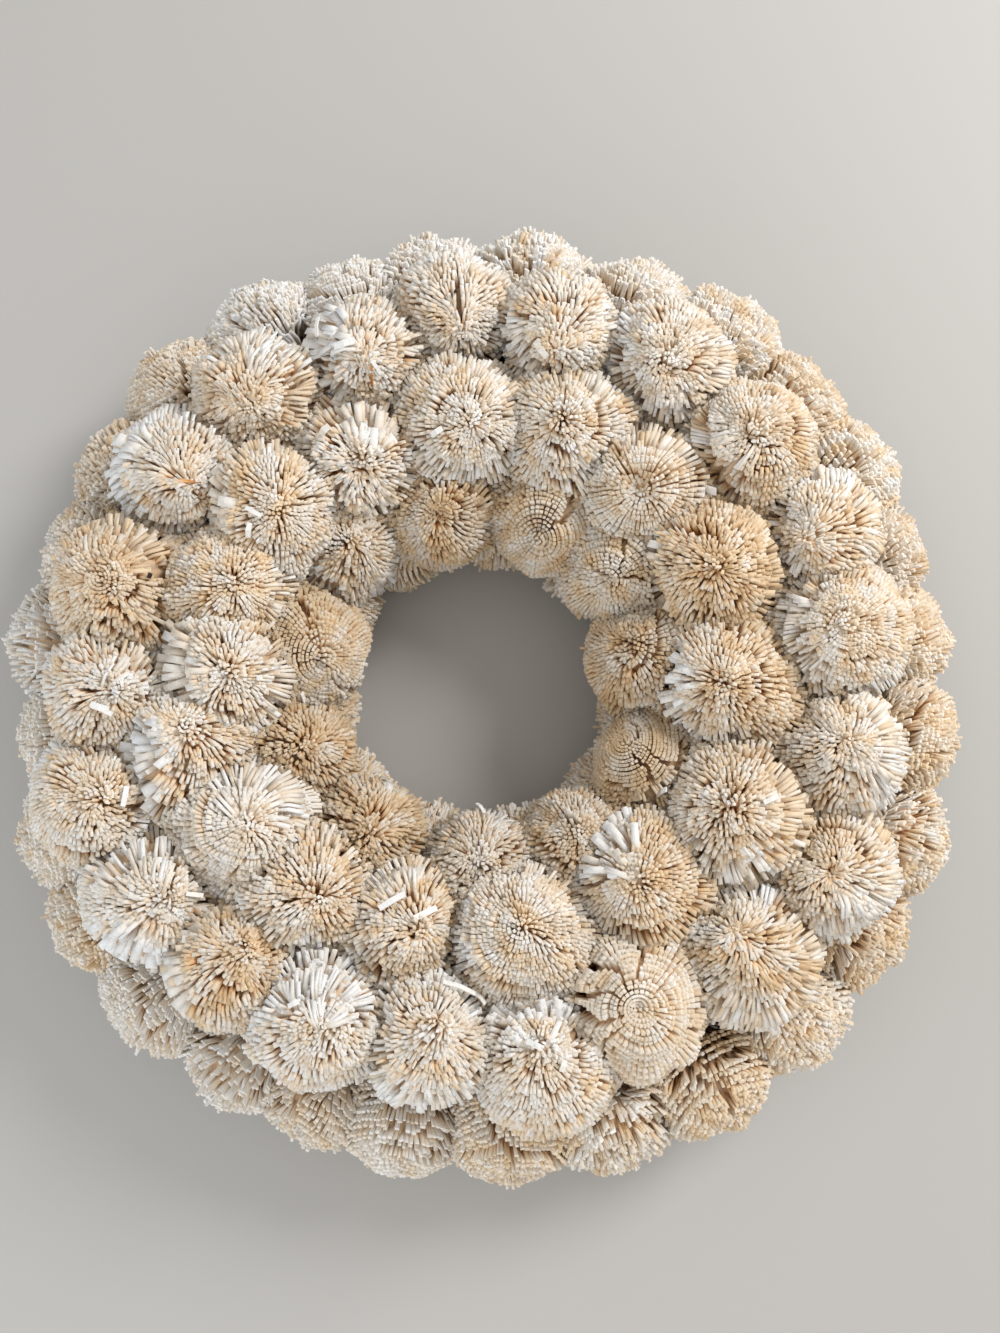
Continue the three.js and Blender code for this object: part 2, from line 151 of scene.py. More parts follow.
# ---------------------------------------------------------------- how each pom looks
# eye: where the winding starts on the dome, right and up in the picture, as a share of it
# pitch: spacing of the rows in the middle and at the rim, mm
# width: of one fringe strand, mm; tight: 1 neat rows of square ends, 0 tousled
# petal: 1 long strands lie over each other like petals, 0 only their ends are seen
# lie: how soon the strands lie down flat towards the rim, 0 stays upright, 3 at once
# reach: how far down the rim strands point, degrees; wide: spread of the rim
# open: half angle of the dome of a pom at the rim or in the hole, degrees
# bud: radius of the middle where fine ends stand close and upright, mm
# coil: radius of a tight uncut coil at the eye, mm; aligned: cuts of the rows line up
# fans: sectors where long strands lie side by side, each (bearing, half width, from, tone,
#   length shown, how many strands wide)
# splits: (bearing, strength) open clefts; knob: a raised bud; hollow: a sunk middle
# warm, tone: colour, the tone partly painted light and shade of the pom as a whole; side: (bearing, amount) the side
# that is warmer
# chips: loose slivers on top, each (place x, place y, bearing, length, width, tone)
STYLE = {
    "crown_pom_01": dict(eye=(0.09, 0.03), lie=2.1, tight=0.3, warm=0.95, tone=-0.02,
        fans=[(185, 40, 0.5, 0.5, 4.6, 2), (255, 50, 0.5, 0.3, 5, 2), (0, 60, 0.5, -0.2, 4.4, 1)],
        splits=[(185, 0.6), (330, 0.5)], side=(20, 0.25)),
    "crown_pom_02": dict(eye=(-0.01, -0.1), lie=1.6, tight=0.75, aligned=True, hollow=1.4,
        pitch=(1.35, 1.9), warm=0.36, tone=0, fans=[(70, 55, 0.35, 0.1, 5.2, 1)], splits=[(60, 0.4)],
        side=(60, 0.2)),
    "crown_pom_03": dict(eye=(-0.02, 0.13), lie=1.8, tight=0.5, warm=0.36, tone=0.05, knob=1.3,
        fans=[(70, 40, 0.4, 0, 5, 1), (-55, 35, 0.4, 0.4, 5.4, 1)], splits=[(-70, 0.9)], side=(0, 0.15)),
    "crown_pom_04": dict(eye=(0.05, -0.03), bud=3.5, lie=2, tight=0.55, warm=0.36, tone=0.05, coil=1.8,
        fans=[(60, 45, 0.4, 0, 4.2, 1), (262, 60, 0.42, 0.25, 4, 1)], splits=[(-30, 0.4)],
        chips=[(-0.2, -0.1, 30, 4.6, 2, 0.9)]),
    "crown_pom_05": dict(eye=(0.02, -0.03), lie=2.2, tight=0.1, warm=0.42, tone=0.08,
        fans=[(75, 50, 0.3, 0.1, 6.6, 2), (-60, 50, 0.4, 0, 4.2, 1)], splits=[(235, 1.4), (200, 0.8)],
        chips=[(-0.28, 0.22, 40, 5, 2.6, 0.2), (-0.35, 0.05, 80, 4.5, 2.4, 0.3)]),
    "crown_pom_06": dict(eye=(0.02, -0.02), lie=2, tight=0.5, warm=0.48, tone=0.03, coil=2.2,
        fans=[(85, 50, 0.45, 0.1, 4.8, 1), (185, 40, 0.45, 0.4, 5, 2), (-10, 40, 0.5, 0, 4.6, 1)],
        splits=[(210, 0.6)], chips=[(-0.16, -0.03, -28, 6, 1.5, 0.9), (-0.2, -0.16, 75, 5, 1.8, 1)]),
    "crown_pom_07": dict(eye=(0.03, 0.04), lie=1.8, tight=0.65, warm=0.58, tone=0.02, hollow=0.7,
        fans=[(0, 60, 0.4, -0.05, 3.4, 1)], splits=[], side=(-10, 0.1)),
    "crown_pom_08": dict(eye=(-0.05, 0.02), lie=1.9, tight=0.5, warm=0.33, tone=0.04,
        fans=[(178, 55, 0.32, 0.15, 6.4, 2), (0, 55, 0.3, 0.1, 6.2, 1), (265, 30, 0.5, 0.2, 5.2, 2)],
        splits=[(215, 0.4), (-30, 0.5)], side=(0, 0.2),
        chips=[(0.15, -0.02, 5, 1.8, 1.8, 1), (0.63, -0.25, -38, 8, 2, 0.5)]),
    "crown_pom_09": dict(eye=(-0.11, 0.18), lie=1.8, tight=0.4, warm=0.42, tone=0.05, coil=2.6,
        fans=[(195, 45, 0.3, 0.8, 6.4, 2), (80, 35, 0.4, 0, 5, 1)], splits=[(260, 0.7), (310, 0.6)],
        side=(0, 0.4)),
    "crown_pom_10": dict(eye=(0.01, -0.1), lie=1.5, tight=0.75, warm=0.3, tone=0.06, knob=0.9,
        aligned=True, fans=[(62, 85, 0.24, 0.25, 6.8, 1)], splits=[(270, 0.5), (-60, 0.5)],
        side=(10, 0.25)),
    "crown_pom_11": dict(eye=(0.07, -0.12), lie=1.8, tight=0.5, warm=0.5, tone=0.02,
        fans=[(35, 55, 0.35, -0.1, 4.2, 1), (258, 58, 0.5, 0.3, 4.4, 1)], splits=[(210, 0.5)],
        side=(20, 0.35)),
    "crown_pom_12": dict(eye=(0.14, -0.19), lie=1.7, tight=0.5, warm=0.5, tone=0.03,
        fans=[(105, 45, 0.45, 0.1, 4.4, 1), (-5, 50, 0.35, -0.1, 4.6, 1)], splits=[(250, 0.5)],
        side=(0, 0.35), chips=[(-0.12, 0.01, 28, 9, 2, 1), (0.14, -0.07, 27, 8, 2, 1)]),
    "crown_pom_13": dict(eye=(0, -0.01), bud=3, lie=1.6, tight=0.7, warm=0.33, tone=0.04,
        fans=[(62, 58, 0.4, 0.2, 6, 1), (180, 40, 0.45, 0.6, 3.4, 1)], splits=[(-40, 0.4)], side=(0, 0.3)),
    "crown_pom_14": dict(eye=(-0.01, -0.05), lie=1.7, tight=0.5, warm=0.5, tone=0,
        fans=[(135, 48, 0.2, 1, 8, 2)], splits=[(180, 0.6), (92, 0.5)], side=(0, 0.4)),
    "crown_pom_15": dict(eye=(0.01, 0.01), lie=1.9, tight=0.35, warm=0.42, tone=0.03, knob=1.1,
        fans=[(10, 50, 0.35, -0.05, 5.6, 1), (255, 55, 0.45, 0.2, 5.2, 1), (165, 35, 0.5, 0.5, 4.6, 1)],
        splits=[(240, 0.6), (300, 0.6)], side=(0, 0.35),
        chips=[(-0.52, 0.17, -8, 7.5, 1.9, 0.9), (0.3, 0.03, 22, 5, 1.6, 0.6)]),
    "crown_pom_16": dict(eye=(0.06, -0.02), lie=2, tight=0.4, warm=0.5, tone=0.02,
        fans=[(175, 48, 0.35, 0.6, 5.6, 2), (255, 48, 0.45, 0.3, 5.8, 1)], splits=[(165, 1), (230, 0.6)],
        side=(15, 0.5)),
    "inner_pom_01": dict(eye=(0.06, 0.15), lie=1.3, tight=0.6, warm=0.4, tone=-0.1,
        fans=[(-60, 45, 0.5, 0, 4.4, 1)], splits=[(-80, 0.5)]),
    "inner_pom_02": dict(eye=(0.1, 0.06), lie=1.2, tight=0.75, aligned=True, warm=0.35, tone=-0.03,
        fans=[], splits=[(60, 0.8), (20, 0.7)]),
    "inner_pom_03": dict(eye=(0, -0.02), lie=0.8, tight=0.97, aligned=True, coil=2.2, pitch=(1.4, 1.6),
        width=1.3, warm=0.38, tone=-0.06, fans=[], splits=[(52, 1.6)], twist=0, side=(90, 0.25)),
    "inner_pom_04": dict(eye=(-0.06, 0.12), lie=1.6, tight=0.6, warm=0.55, tone=-0.06, hollow=1.2,
        fans=[(20, 45, 0.35, -0.1, 4.6, 1)], splits=[(100, 0.9)], side=(60, 0.3)),
    "inner_pom_05": dict(eye=(0, 0.21), lie=1.6, tight=0.35, warm=0.4, tone=0.05,
        fans=[(205, 45, 0.35, 0.6, 6.6, 2), (-35, 40, 0.5, 0.5, 6, 2)], splits=[(230, 1)]),
    "inner_pom_06": dict(eye=(-0.09, -0.06), lie=1.2, tight=0.85, aligned=True, coil=2.4, pitch=(1.4, 1.8),
        warm=0.5, tone=-0.02, fans=[], splits=[(120, 0.8), (-60, 0.7)], side=(100, 0.4)),
    "inner_pom_07": dict(eye=(-0.11, -0.01), lie=1.4, tight=0.5, warm=0.65, tone=-0.04, fans=[],
        splits=[(190, 0.9), (150, 0.7)]),
    "inner_pom_08": dict(eye=(-0.1, -0.17), lie=1.6, tight=0.25, warm=0.75, tone=0,
        fans=[(85, 35, 0.5, 0.8, 6, 2)], splits=[(180, 0.7)]),
    "inner_pom_09": dict(eye=(-0.01, -0.21), lie=1.8, tight=0.3, warm=0.32, tone=0.06,
        fans=[(80, 40, 0.35, 0.4, 5, 1), (200, 40, 0.45, 0.2, 4.2, 1)], splits=[(60, 0.9), (-70, 0.7)],
        chips=[(0.01, 0.26, 110, 7.5, 1.2, 0.8)]),
    "inner_pom_10": dict(eye=(0.03, -0.12), lie=1.4, tight=0.6, warm=0.36, tone=-0.02,
        fans=[(90, 45, 0.5, 0.4, 3.6, 1)], splits=[(-80, 0.8)]),
    "inner_pom_11": dict(eye=(0.02, 0.05), lie=1.2, tight=0.9, coil=5, pitch=(1.15, 1.7), width=1.1,
        warm=0.45, tone=-0.1, fans=[(-55, 50, 0.5, 0, 4.8, 1)], splits=[(-70, 0.9), (-30, 0.6)]),
    "outer_pom_05": dict(lie=0.9, tight=0.45, petal=0.4, warm=0.4, tone=0.08,
        fans=[(40, 60, 0.4, 0.4, 4, 1)]),
    "outer_pom_06": dict(lie=0.9, tight=0.35, petal=0.5, warm=0.4, tone=0.08, fans=[]),
    "outer_pom_07": dict(lie=1, tight=0.35, warm=0.3, tone=0.12, petal=0.5,
        fans=[(90, 60, 0.3, 0.5, 4, 1)]),
    "outer_pom_08": dict(lie=0.8, tight=0.6, warm=0.2, tone=0.12, fans=[]),
    "outer_pom_09": dict(lie=0.6, tight=0.85, warm=0.22, tone=0.1, coil=2, fans=[]),
    "outer_pom_10": dict(lie=0.8, tight=0.5, petal=0.4, warm=0.25, tone=0.12,
        fans=[(110, 50, 0.5, 0.4, 4.2, 1)]),
    "outer_pom_14": dict(lie=0.9, tight=0.5, petal=0.5, warm=0.15, tone=0.08,
        fans=[(0, 70, 0.3, 0.4, 5, 1)]),
    "outer_pom_15": dict(lie=0.5, tight=0.75, warm=0.15, tone=0.04, fans=[]),
    "outer_pom_16": dict(lie=0.5, tight=0.8, warm=0.15, tone=0.02, fans=[]),
    "outer_pom_18": dict(lie=0.7, tight=0.7, warm=0.3, tone=0.06, fans=[]),
    "outer_pom_19": dict(lie=0.9, tight=0.6, petal=0.4, warm=0.3, tone=0.07,
        fans=[(60, 60, 0.3, 0.2, 5, 2)]),
    "outer_pom_21": dict(lie=0.7, tight=0.85, warm=0.3, tone=0.06, aligned=True,
        fans=[(60, 40, 0.4, 0.1, 4.6, 1)], splits=[(20, 0.6)]),
    "outer_pom_23": dict(lie=1.2, tight=0.55, petal=0.6, warm=0.4, tone=0.06,
        fans=[(70, 60, 0.4, 0, 4.6, 1)], splits=[(90, 0.9)]),
    "outer_pom_24": dict(lie=0.9, tight=0.75, warm=0.55, tone=0.02, coil=2.6,
        fans=[(-30, 40, 0.35, 0.2, 4.6, 1)]),
    "shoulder_pom_01": dict(eye=(-0.2, 0.02), lie=1.3, tight=0.7, warm=0.42, tone=0.02, coil=3.6,
        fans=[(178, 62, 0.34, 0.25, 5.2, 1), (-60, 40, 0.5, 0.5, 5.6, 1)], splits=[(150, 0.7), (205, 0.8)],
        side=(0, 0.2)),
    "shoulder_pom_02": dict(eye=(-0.32, -0.2), lie=1.8, tight=0.35, warm=0.42, tone=0.05,
        fans=[(200, 60, 0.35, 0.35, 4.6, 1), (85, 40, 0.4, 0.6, 5, 1), (0, 50, 0.45, 0.1, 4.2, 1)],
        splits=[(230, 0.8), (150, 0.6)], side=(0, 0.25)),
    "shoulder_pom_03": dict(eye=(-0.1, -0.03), lie=1.7, tight=0.6, warm=0.45, tone=0, coil=2.4,
        fans=[(205, 55, 0.38, 0.1, 6, 1)], splits=[(232, 1), (185, 0.5)], side=(-30, 0.3),
        chips=[(-0.52, -0.5, 20, 8.5, 3, 0.9)]),
    "shoulder_pom_04": dict(eye=(-0.14, -0.13), bud=6.5, lie=1.9, tight=0.5, warm=0.35, tone=0.04, knob=0,
        fans=[(170, 45, 0.42, 0.5, 4.8, 1), (250, 50, 0.45, 0.2, 4.8, 1), (-10, 50, 0.35, -0.1, 3.8, 1)],
        splits=[(222, 0.9), (280, 0.6)], side=(0, 0.25)),
    "shoulder_pom_05": dict(eye=(-0.03, -0.3), bud=5, lie=1.6, tight=0.45, warm=0.35, tone=0.06,
        fans=[(215, 50, 0.35, 0.25, 4.6, 1), (-15, 55, 0.4, -0.1, 3.6, 1)], splits=[(205, 1), (262, 0.7)],
        side=(0, 0.2), chips=[(-0.2, -0.39, 118, 6.5, 2.2, 0.6)]),
    "shoulder_pom_06": dict(eye=(0.05, -0.39), bud=2, lie=2.2, tight=0.35, warm=0.32, tone=0.06,
        fans=[(90, 50, 0.55, 0.2, 3.4, 1), (250, 60, 0.35, 0.1, 4.2, 1)], splits=[(-75, 0.8), (200, 0.4)],
        chips=[(-0.02, -0.12, 20, 1, 0.9, -9)]),
    "shoulder_pom_07": dict(eye=(0.08, -0.39), lie=2.2, tight=0.2, warm=0.35, tone=0.06,
        fans=[(165, 50, 0.25, 0.9, 7, 2), (235, 30, 0.35, 0.6, 6.4, 2), (40, 60, 0.4, 0.1, 4, 1)],
        splits=[(135, 1), (200, 0.9)],
        chips=[(-0.1, -0.24, 12, 7.5, 2.4, 1), (-0.35, -0.03, 82, 7, 1.4, 0.8), (0.17, -0.43, 125, 6, 1.3, 0.7)]),
    "shoulder_pom_08": dict(eye=(0.01, -0.33), lie=1.9, tight=0.35, warm=0.5, tone=0,
        fans=[(85, 52, 0.35, 0.75, 5.6, 1), (-5, 32, 0.3, 0, 6.4, 1)],
        splits=[(215, 0.7), (240, 0.9), (265, 0.7)], side=(0, 0.1)),
    "shoulder_pom_09": dict(eye=(0.33, -0.27), lie=1.9, tight=0.4, warm=0.35, tone=0.06,
        fans=[(90, 55, 0.45, 0.7, 5, 1), (190, 38, 0.45, 0.8, 5.6, 2), (265, 45, 0.5, 0.2, 5.2, 1)],
        splits=[(150, 0.5), (230, 0.6)], side=(-10, 0.35)),
    "shoulder_pom_10": dict(eye=(0.04, 0.01), lie=1.6, tight=0.45, warm=0.62, tone=-0.03, coil=4.2,
        fans=[(55, 60, 0.35, 0, 6.6, 1), (-10, 40, 0.45, -0.1, 5.6, 1)],
        splits=[(250, 0.7), (285, 0.7), (310, 0.6)], side=(0, 0.1), chips=[(0.38, 0.03, 70, 1.7, 1.4, -9)]),
    "shoulder_pom_11": dict(eye=(0.26, 0.02), lie=1.6, tight=0.3, warm=0.32, tone=0.06,
        fans=[(60, 45, 0.3, 0, 5.4, 1), (-5, 35, 0.4, 0.1, 4.8, 1)], splits=[(30, 0.7)],
        chips=[(0.44, 0.13, 10, 1.9, 1.9, 1), (0.21, -0.11, -20, 6, 2.2, 1), (0.25, -0.14, -35, 5, 1.6, 0.9)]),
    "shoulder_pom_12": dict(eye=(0.15, 0), lie=1.5, tight=0.55, warm=0.4, tone=0.05, twist=0.35, coil=2.2,
        fans=[(35, 60, 0.35, 0.3, 6, 1), (130, 30, 0.5, 0.4, 5, 1)], splits=[(-20, 0.6)], side=(0, 0.25),
        chips=[(0.41, 0, 80, 6.5, 1.7, 1)]),
    "shoulder_pom_13": dict(eye=(0.24, 0.03), lie=1.7, tight=0.4, warm=0.32, tone=0.08,
        fans=[(110, 45, 0.28, 0.1, 7, 1), (255, 45, 0.35, 0.9, 6.6, 2), (0, 45, 0.3, -0.1, 6, 1)],
        splits=[(85, 1), (60, 0.7), (225, 0.8)], side=(0, 0.2),
        chips=[(0.19, 0.32, 0, 3.2, 1.8, 0.7), (0.44, 0.07, -8, 5.5, 1.5, 0.6)]),
    "shoulder_pom_14": dict(eye=(0.29, 0.16), lie=1.8, tight=0.45, warm=0.55, tone=0,
        fans=[(185, 50, 0.4, 0.35, 5.4, 2), (95, 40, 0.45, 0, 5.2, 2)], splits=[(135, 0.6)],
        side=(0, 0.25)),
    "shoulder_pom_15": dict(eye=(0.14, 0.09), bud=6, lie=1.6, tight=0.4, warm=0.25, tone=0.12,
        fans=[(88, 80, 0.22, 0.35, 7, 1)], splits=[(20, 0.4)], chips=[(-0.06, 0.26, 25, 4.5, 1.6, 0.9)]),
    "shoulder_pom_16": dict(eye=(0.13, 0.23), bud=4.5, lie=1.9, tight=0.4, warm=0.3, tone=0.08, knob=1.6,
        fans=[(262, 60, 0.45, 0.45, 5.4, 1), (170, 40, 0.4, 0, 4.4, 1), (60, 50, 0.45, 0.2, 4.2, 1)],
        splits=[(240, 0.8), (300, 0.7)],
        chips=[(0.32, 0.56, -12, 11, 1.8, 0.8), (0.52, 0.47, -60, 5, 1.9, 0.9)]),
    "shoulder_pom_17": dict(eye=(-0.03, 0.23), lie=1.5, tight=0.5, warm=0.3, tone=0.08,
        fans=[(105, 48, 0.28, 1, 7.4, 2), (45, 16, 0.3, 0.4, 8, 1)], splits=[(60, 0.6)], side=(-10, 0.3),
        chips=[(-0.06, 0.27, -25, 5.5, 1.9, 0.8), (0.12, 0.14, 70, 3.6, 1.7, 0.5)]),
    "shoulder_pom_18": dict(eye=(-0.08, 0.07), lie=1.2, tight=0.93, aligned=True, coil=5,
        pitch=(1.45, 2.3), width=1.3, warm=0.4, tone=0.03, fans=[],
        splits=[(188, 1.9), (160, 1), (128, 1.1), (95, 0.9), (222, 0.8), (330, 0.5)], twist=0.05, high=0.9,
        side=(-20, 0.12)),
    "shoulder_pom_19": dict(eye=(-0.22, 0.25), lie=2, tight=0.3, warm=0.42, tone=0.02,
        fans=[(88, 38, 0.3, 0.55, 7, 1), (0, 45, 0.35, -0.1, 4.6, 1), (255, 55, 0.45, 0.2, 5, 1)],
        splits=[(140, 0.9), (225, 0.7)], side=(0, 0.25)),
    "shoulder_pom_20": dict(eye=(-0.19, 0.02), lie=1.7, tight=0.45, warm=0.48, tone=0.02,
        fans=[(-45, 65, 0.3, 0.45, 5.4, 1), (40, 35, 0.4, 0.2, 4.2, 1)], splits=[(165, 1.1), (200, 0.7)],
        side=(90, 0.25)),
    "shoulder_pom_21": dict(eye=(-0.09, 0.11), lie=1.5, tight=0.45, warm=0.34, tone=0.04,
        fans=[(-5, 72, 0.22, 0.35, 6.4, 1)], splits=[(225, 0.6)], side=(0, 0.1)),
}


def default_style(pom, rng):
    ang = math.atan2(pom.out @ pom.y, pom.out @ pom.x)
    off = rng.uniform(0.05, 0.35)
    ang += rng.normal(0, 0.5)
    st = dict(
        eye=(off * math.cos(ang), off * math.sin(ang)),
        pitch=None, width=None, petal=None,
        tight=rng.uniform(0.25, 0.8) if pom.row != "outer" else rng.uniform(0.5, 0.85),
        lie=rng.uniform(0.6, 2.4) if pom.row != "outer" else rng.uniform(0.3, 1.0),
        reach=rng.uniform(90, 102),
        wide=rng.uniform(1.14, 1.2),
        high=0.93, bud=rng.uniform(1.5, 5.5), coil=0.0, aligned=False, open=rng.uniform(78, 90),
        twist=rng.uniform(-0.2, 0.2),
        fans=[], splits=[], chips=[], knob=0.0, hollow=0.0,
        warm=rng.uniform(0.25, 0.6), tone=rng.uniform(-0.07, 0.06),
        side=(rng.uniform(0, 360), rng.uniform(0.0, 0.3)),
    )
    if rng.random() < 0.4:
        st["fans"].append((math.degrees(ang) + 180 + rng.normal(0, 50), rng.uniform(25, 55),
                           rng.uniform(0.3, 0.5), rng.uniform(0.0, 0.5), rng.uniform(3.6, 5.4), 1))
    for _ in range(rng.integers(1, 4)):
        st["splits"].append((rng.uniform(0, 360), rng.uniform(0.3, 0.9)))
    if rng.random() < 0.3:
        st["knob"] = rng.uniform(0.6, 1.0)
    elif rng.random() < 0.3:
        st["hollow"] = rng.uniform(0.5, 1.0)
    return st


# ---------------------------------------------------------------- where poms press on each other
def planes_of(pom):
    """The flats between this pom and its neighbours: normal, offset, each in mm."""
    found = []
    for other in POMS:
        if other is pom:
            continue
        d = other.c - pom.c
        dist = np.linalg.norm(d)
        if dist > (pom.R + other.R) * 1.05:
            continue
        n = d / dist
        share = (dist * dist + pom.R ** 2 - other.R ** 2) / (2 * dist)
        found.append((n, float(n @ pom.c + share)))
    return found


def inside_ring(p, grow=0.0):
    """True where points lie inside the ring base."""
    q = p - CENTRE
    out = np.abs(np.hypot(q[:, 0], q[:, 1]) - RING_RADIUS) / (RING_HALF_WIDTH + grow)
    z = (q[:, 2] - 14.0)
    up = np.where(z > 0, z / (RING_HEIGHT - 14.0 + grow), -z / (24.0 + grow))
    return out ** 2.4 + np.abs(up) ** 2.4 < 1


def sky(count=46):
    """Directions spread over the whole sphere."""
    i = np.arange(count) + 0.5
    z = 1 - 2 * i / count
    r = np.sqrt(1 - z * z)
    p = math.pi * (1 + math.sqrt(5)) * i
    return np.stack([r * np.cos(p), r * np.sin(p), z], 1)


SKY = sky()


def ways_out(points, facing, pom):
    """How many ways out are free of the pom itself, the other poms and the base."""
    near = [o for o in POMS if o is not pom and np.linalg.norm(o.c - pom.c) < 75]
    blocked = facing @ SKY.T < 0.05
    for o in near:
        v = o.c - points
        r = o.R * 0.93
        along = v @ SKY.T
        gap2 = np.sum(v * v, 1)[:, None] - along ** 2
        blocked |= (along > 0) & (gap2 < r * r) & (along ** 2 > 4)
    for step in (8.0, 18.0, 32.0):
        q = points[:, None, :] + SKY[None] * step
        blocked |= inside_ring(q.reshape(-1, 3)).reshape(len(points), -1)
    return (~blocked).sum(1)


class Waves:
    """A smooth random field, the same at each run."""

    def __init__(self, rng, size, count=7, dims=3):
        self.k = unit(rng.normal(size=(count, 3))) * (2 * math.pi / size) * rng.uniform(0.7, 1.5, (count, 1))
        self.a = rng.normal(size=(count, dims)) / math.sqrt(count)
        self.f = rng.uniform(0, 2 * math.pi, count)

    def __call__(self, p):
        return np.sin(p @ self.k.T + self.f) @ self.a


# The three kinds of fringe strand. All end in a square-cut tip of four corners, listed last.
# A spike narrows to a point at the neck, a blade keeps its width and thins to an edge, and a
# bent blade has a knee halfway.
SPIKE = [(1, 2, 3, 4), (0, 2, 1), (0, 3, 2), (0, 4, 3), (0, 1, 4)]
BLADE = [(2, 3, 4, 5), (0, 1, 3, 2), (1, 0, 5, 4), (1, 4, 3), (0, 2, 5)]
BENT = [(6, 7, 8, 9), (2, 3, 7, 6), (3, 4, 8, 7), (4, 5, 9, 8), (5, 2, 6, 9),
        (0, 1, 3, 2), (1, 0, 5, 4), (1, 4, 3), (0, 2, 5)]


def faces_uv(faces):
    """Where each face of a strand lies in the strand's own square of the map."""
    corner = np.array([[0, 0], [1, 0], [1, 1], [0, 1]], float)
    cells = []
    tall = faces[1:]
    n = len(tall)
    cells.append(np.array([0.06, 0.80]) + corner * np.array([0.88, 0.16]))
    if n == 12:
        spots = [(i % 4, y, 0.22) for y in (0.54, 0.29, 0.04) for i in range(4)]
    elif n >= 8:
        spots = [(i % 4, 0.42, 0.34) for i in range(4)] + [(i % 4, 0.05, 0.33) for i in range(4)]
        if n > 8:
            spots = spots[:7] + [(3, 0.22, 0.16), (3, 0.05, 0.14)]
    else:
        spots = [(i % 4, 0.05, 0.70) for i in range(n)]
    for f, (c, y, h) in zip(tall, spots):
        box = np.array([0.03 + c * 0.245, y]) + corner * np.array([0.205, h])
        cells.append(box[:len(f)] if len(f) == 4 else np.array([box[0], box[1], (box[2] + box[3]) / 2]))
    return cells


PETAL = [(10, 11, 12, 13), (6, 7, 11, 10), (7, 8, 12, 11), (8, 9, 13, 12), (9, 6, 10, 13),
         (2, 3, 7, 6), (3, 4, 8, 7), (4, 5, 9, 8), (5, 2, 6, 9),
         (0, 1, 3, 2), (1, 0, 5, 4), (1, 4, 3), (0, 2, 5)]
CHIP = [(8, 9, 10, 11), (0, 1, 5, 4), (1, 2, 6, 5), (2, 3, 7, 6), (3, 0, 4, 7),
        (4, 5, 9, 8), (5, 6, 10, 9), (6, 7, 11, 10), (7, 4, 8, 11), (3, 2, 1, 0)]


KINDS = [(SPIKE, faces_uv(SPIKE), 5), (BLADE, faces_uv(BLADE), 6), (BENT, faces_uv(BENT), 10),
         (CHIP, faces_uv(CHIP), 12), (PETAL, faces_uv(PETAL), 14)]


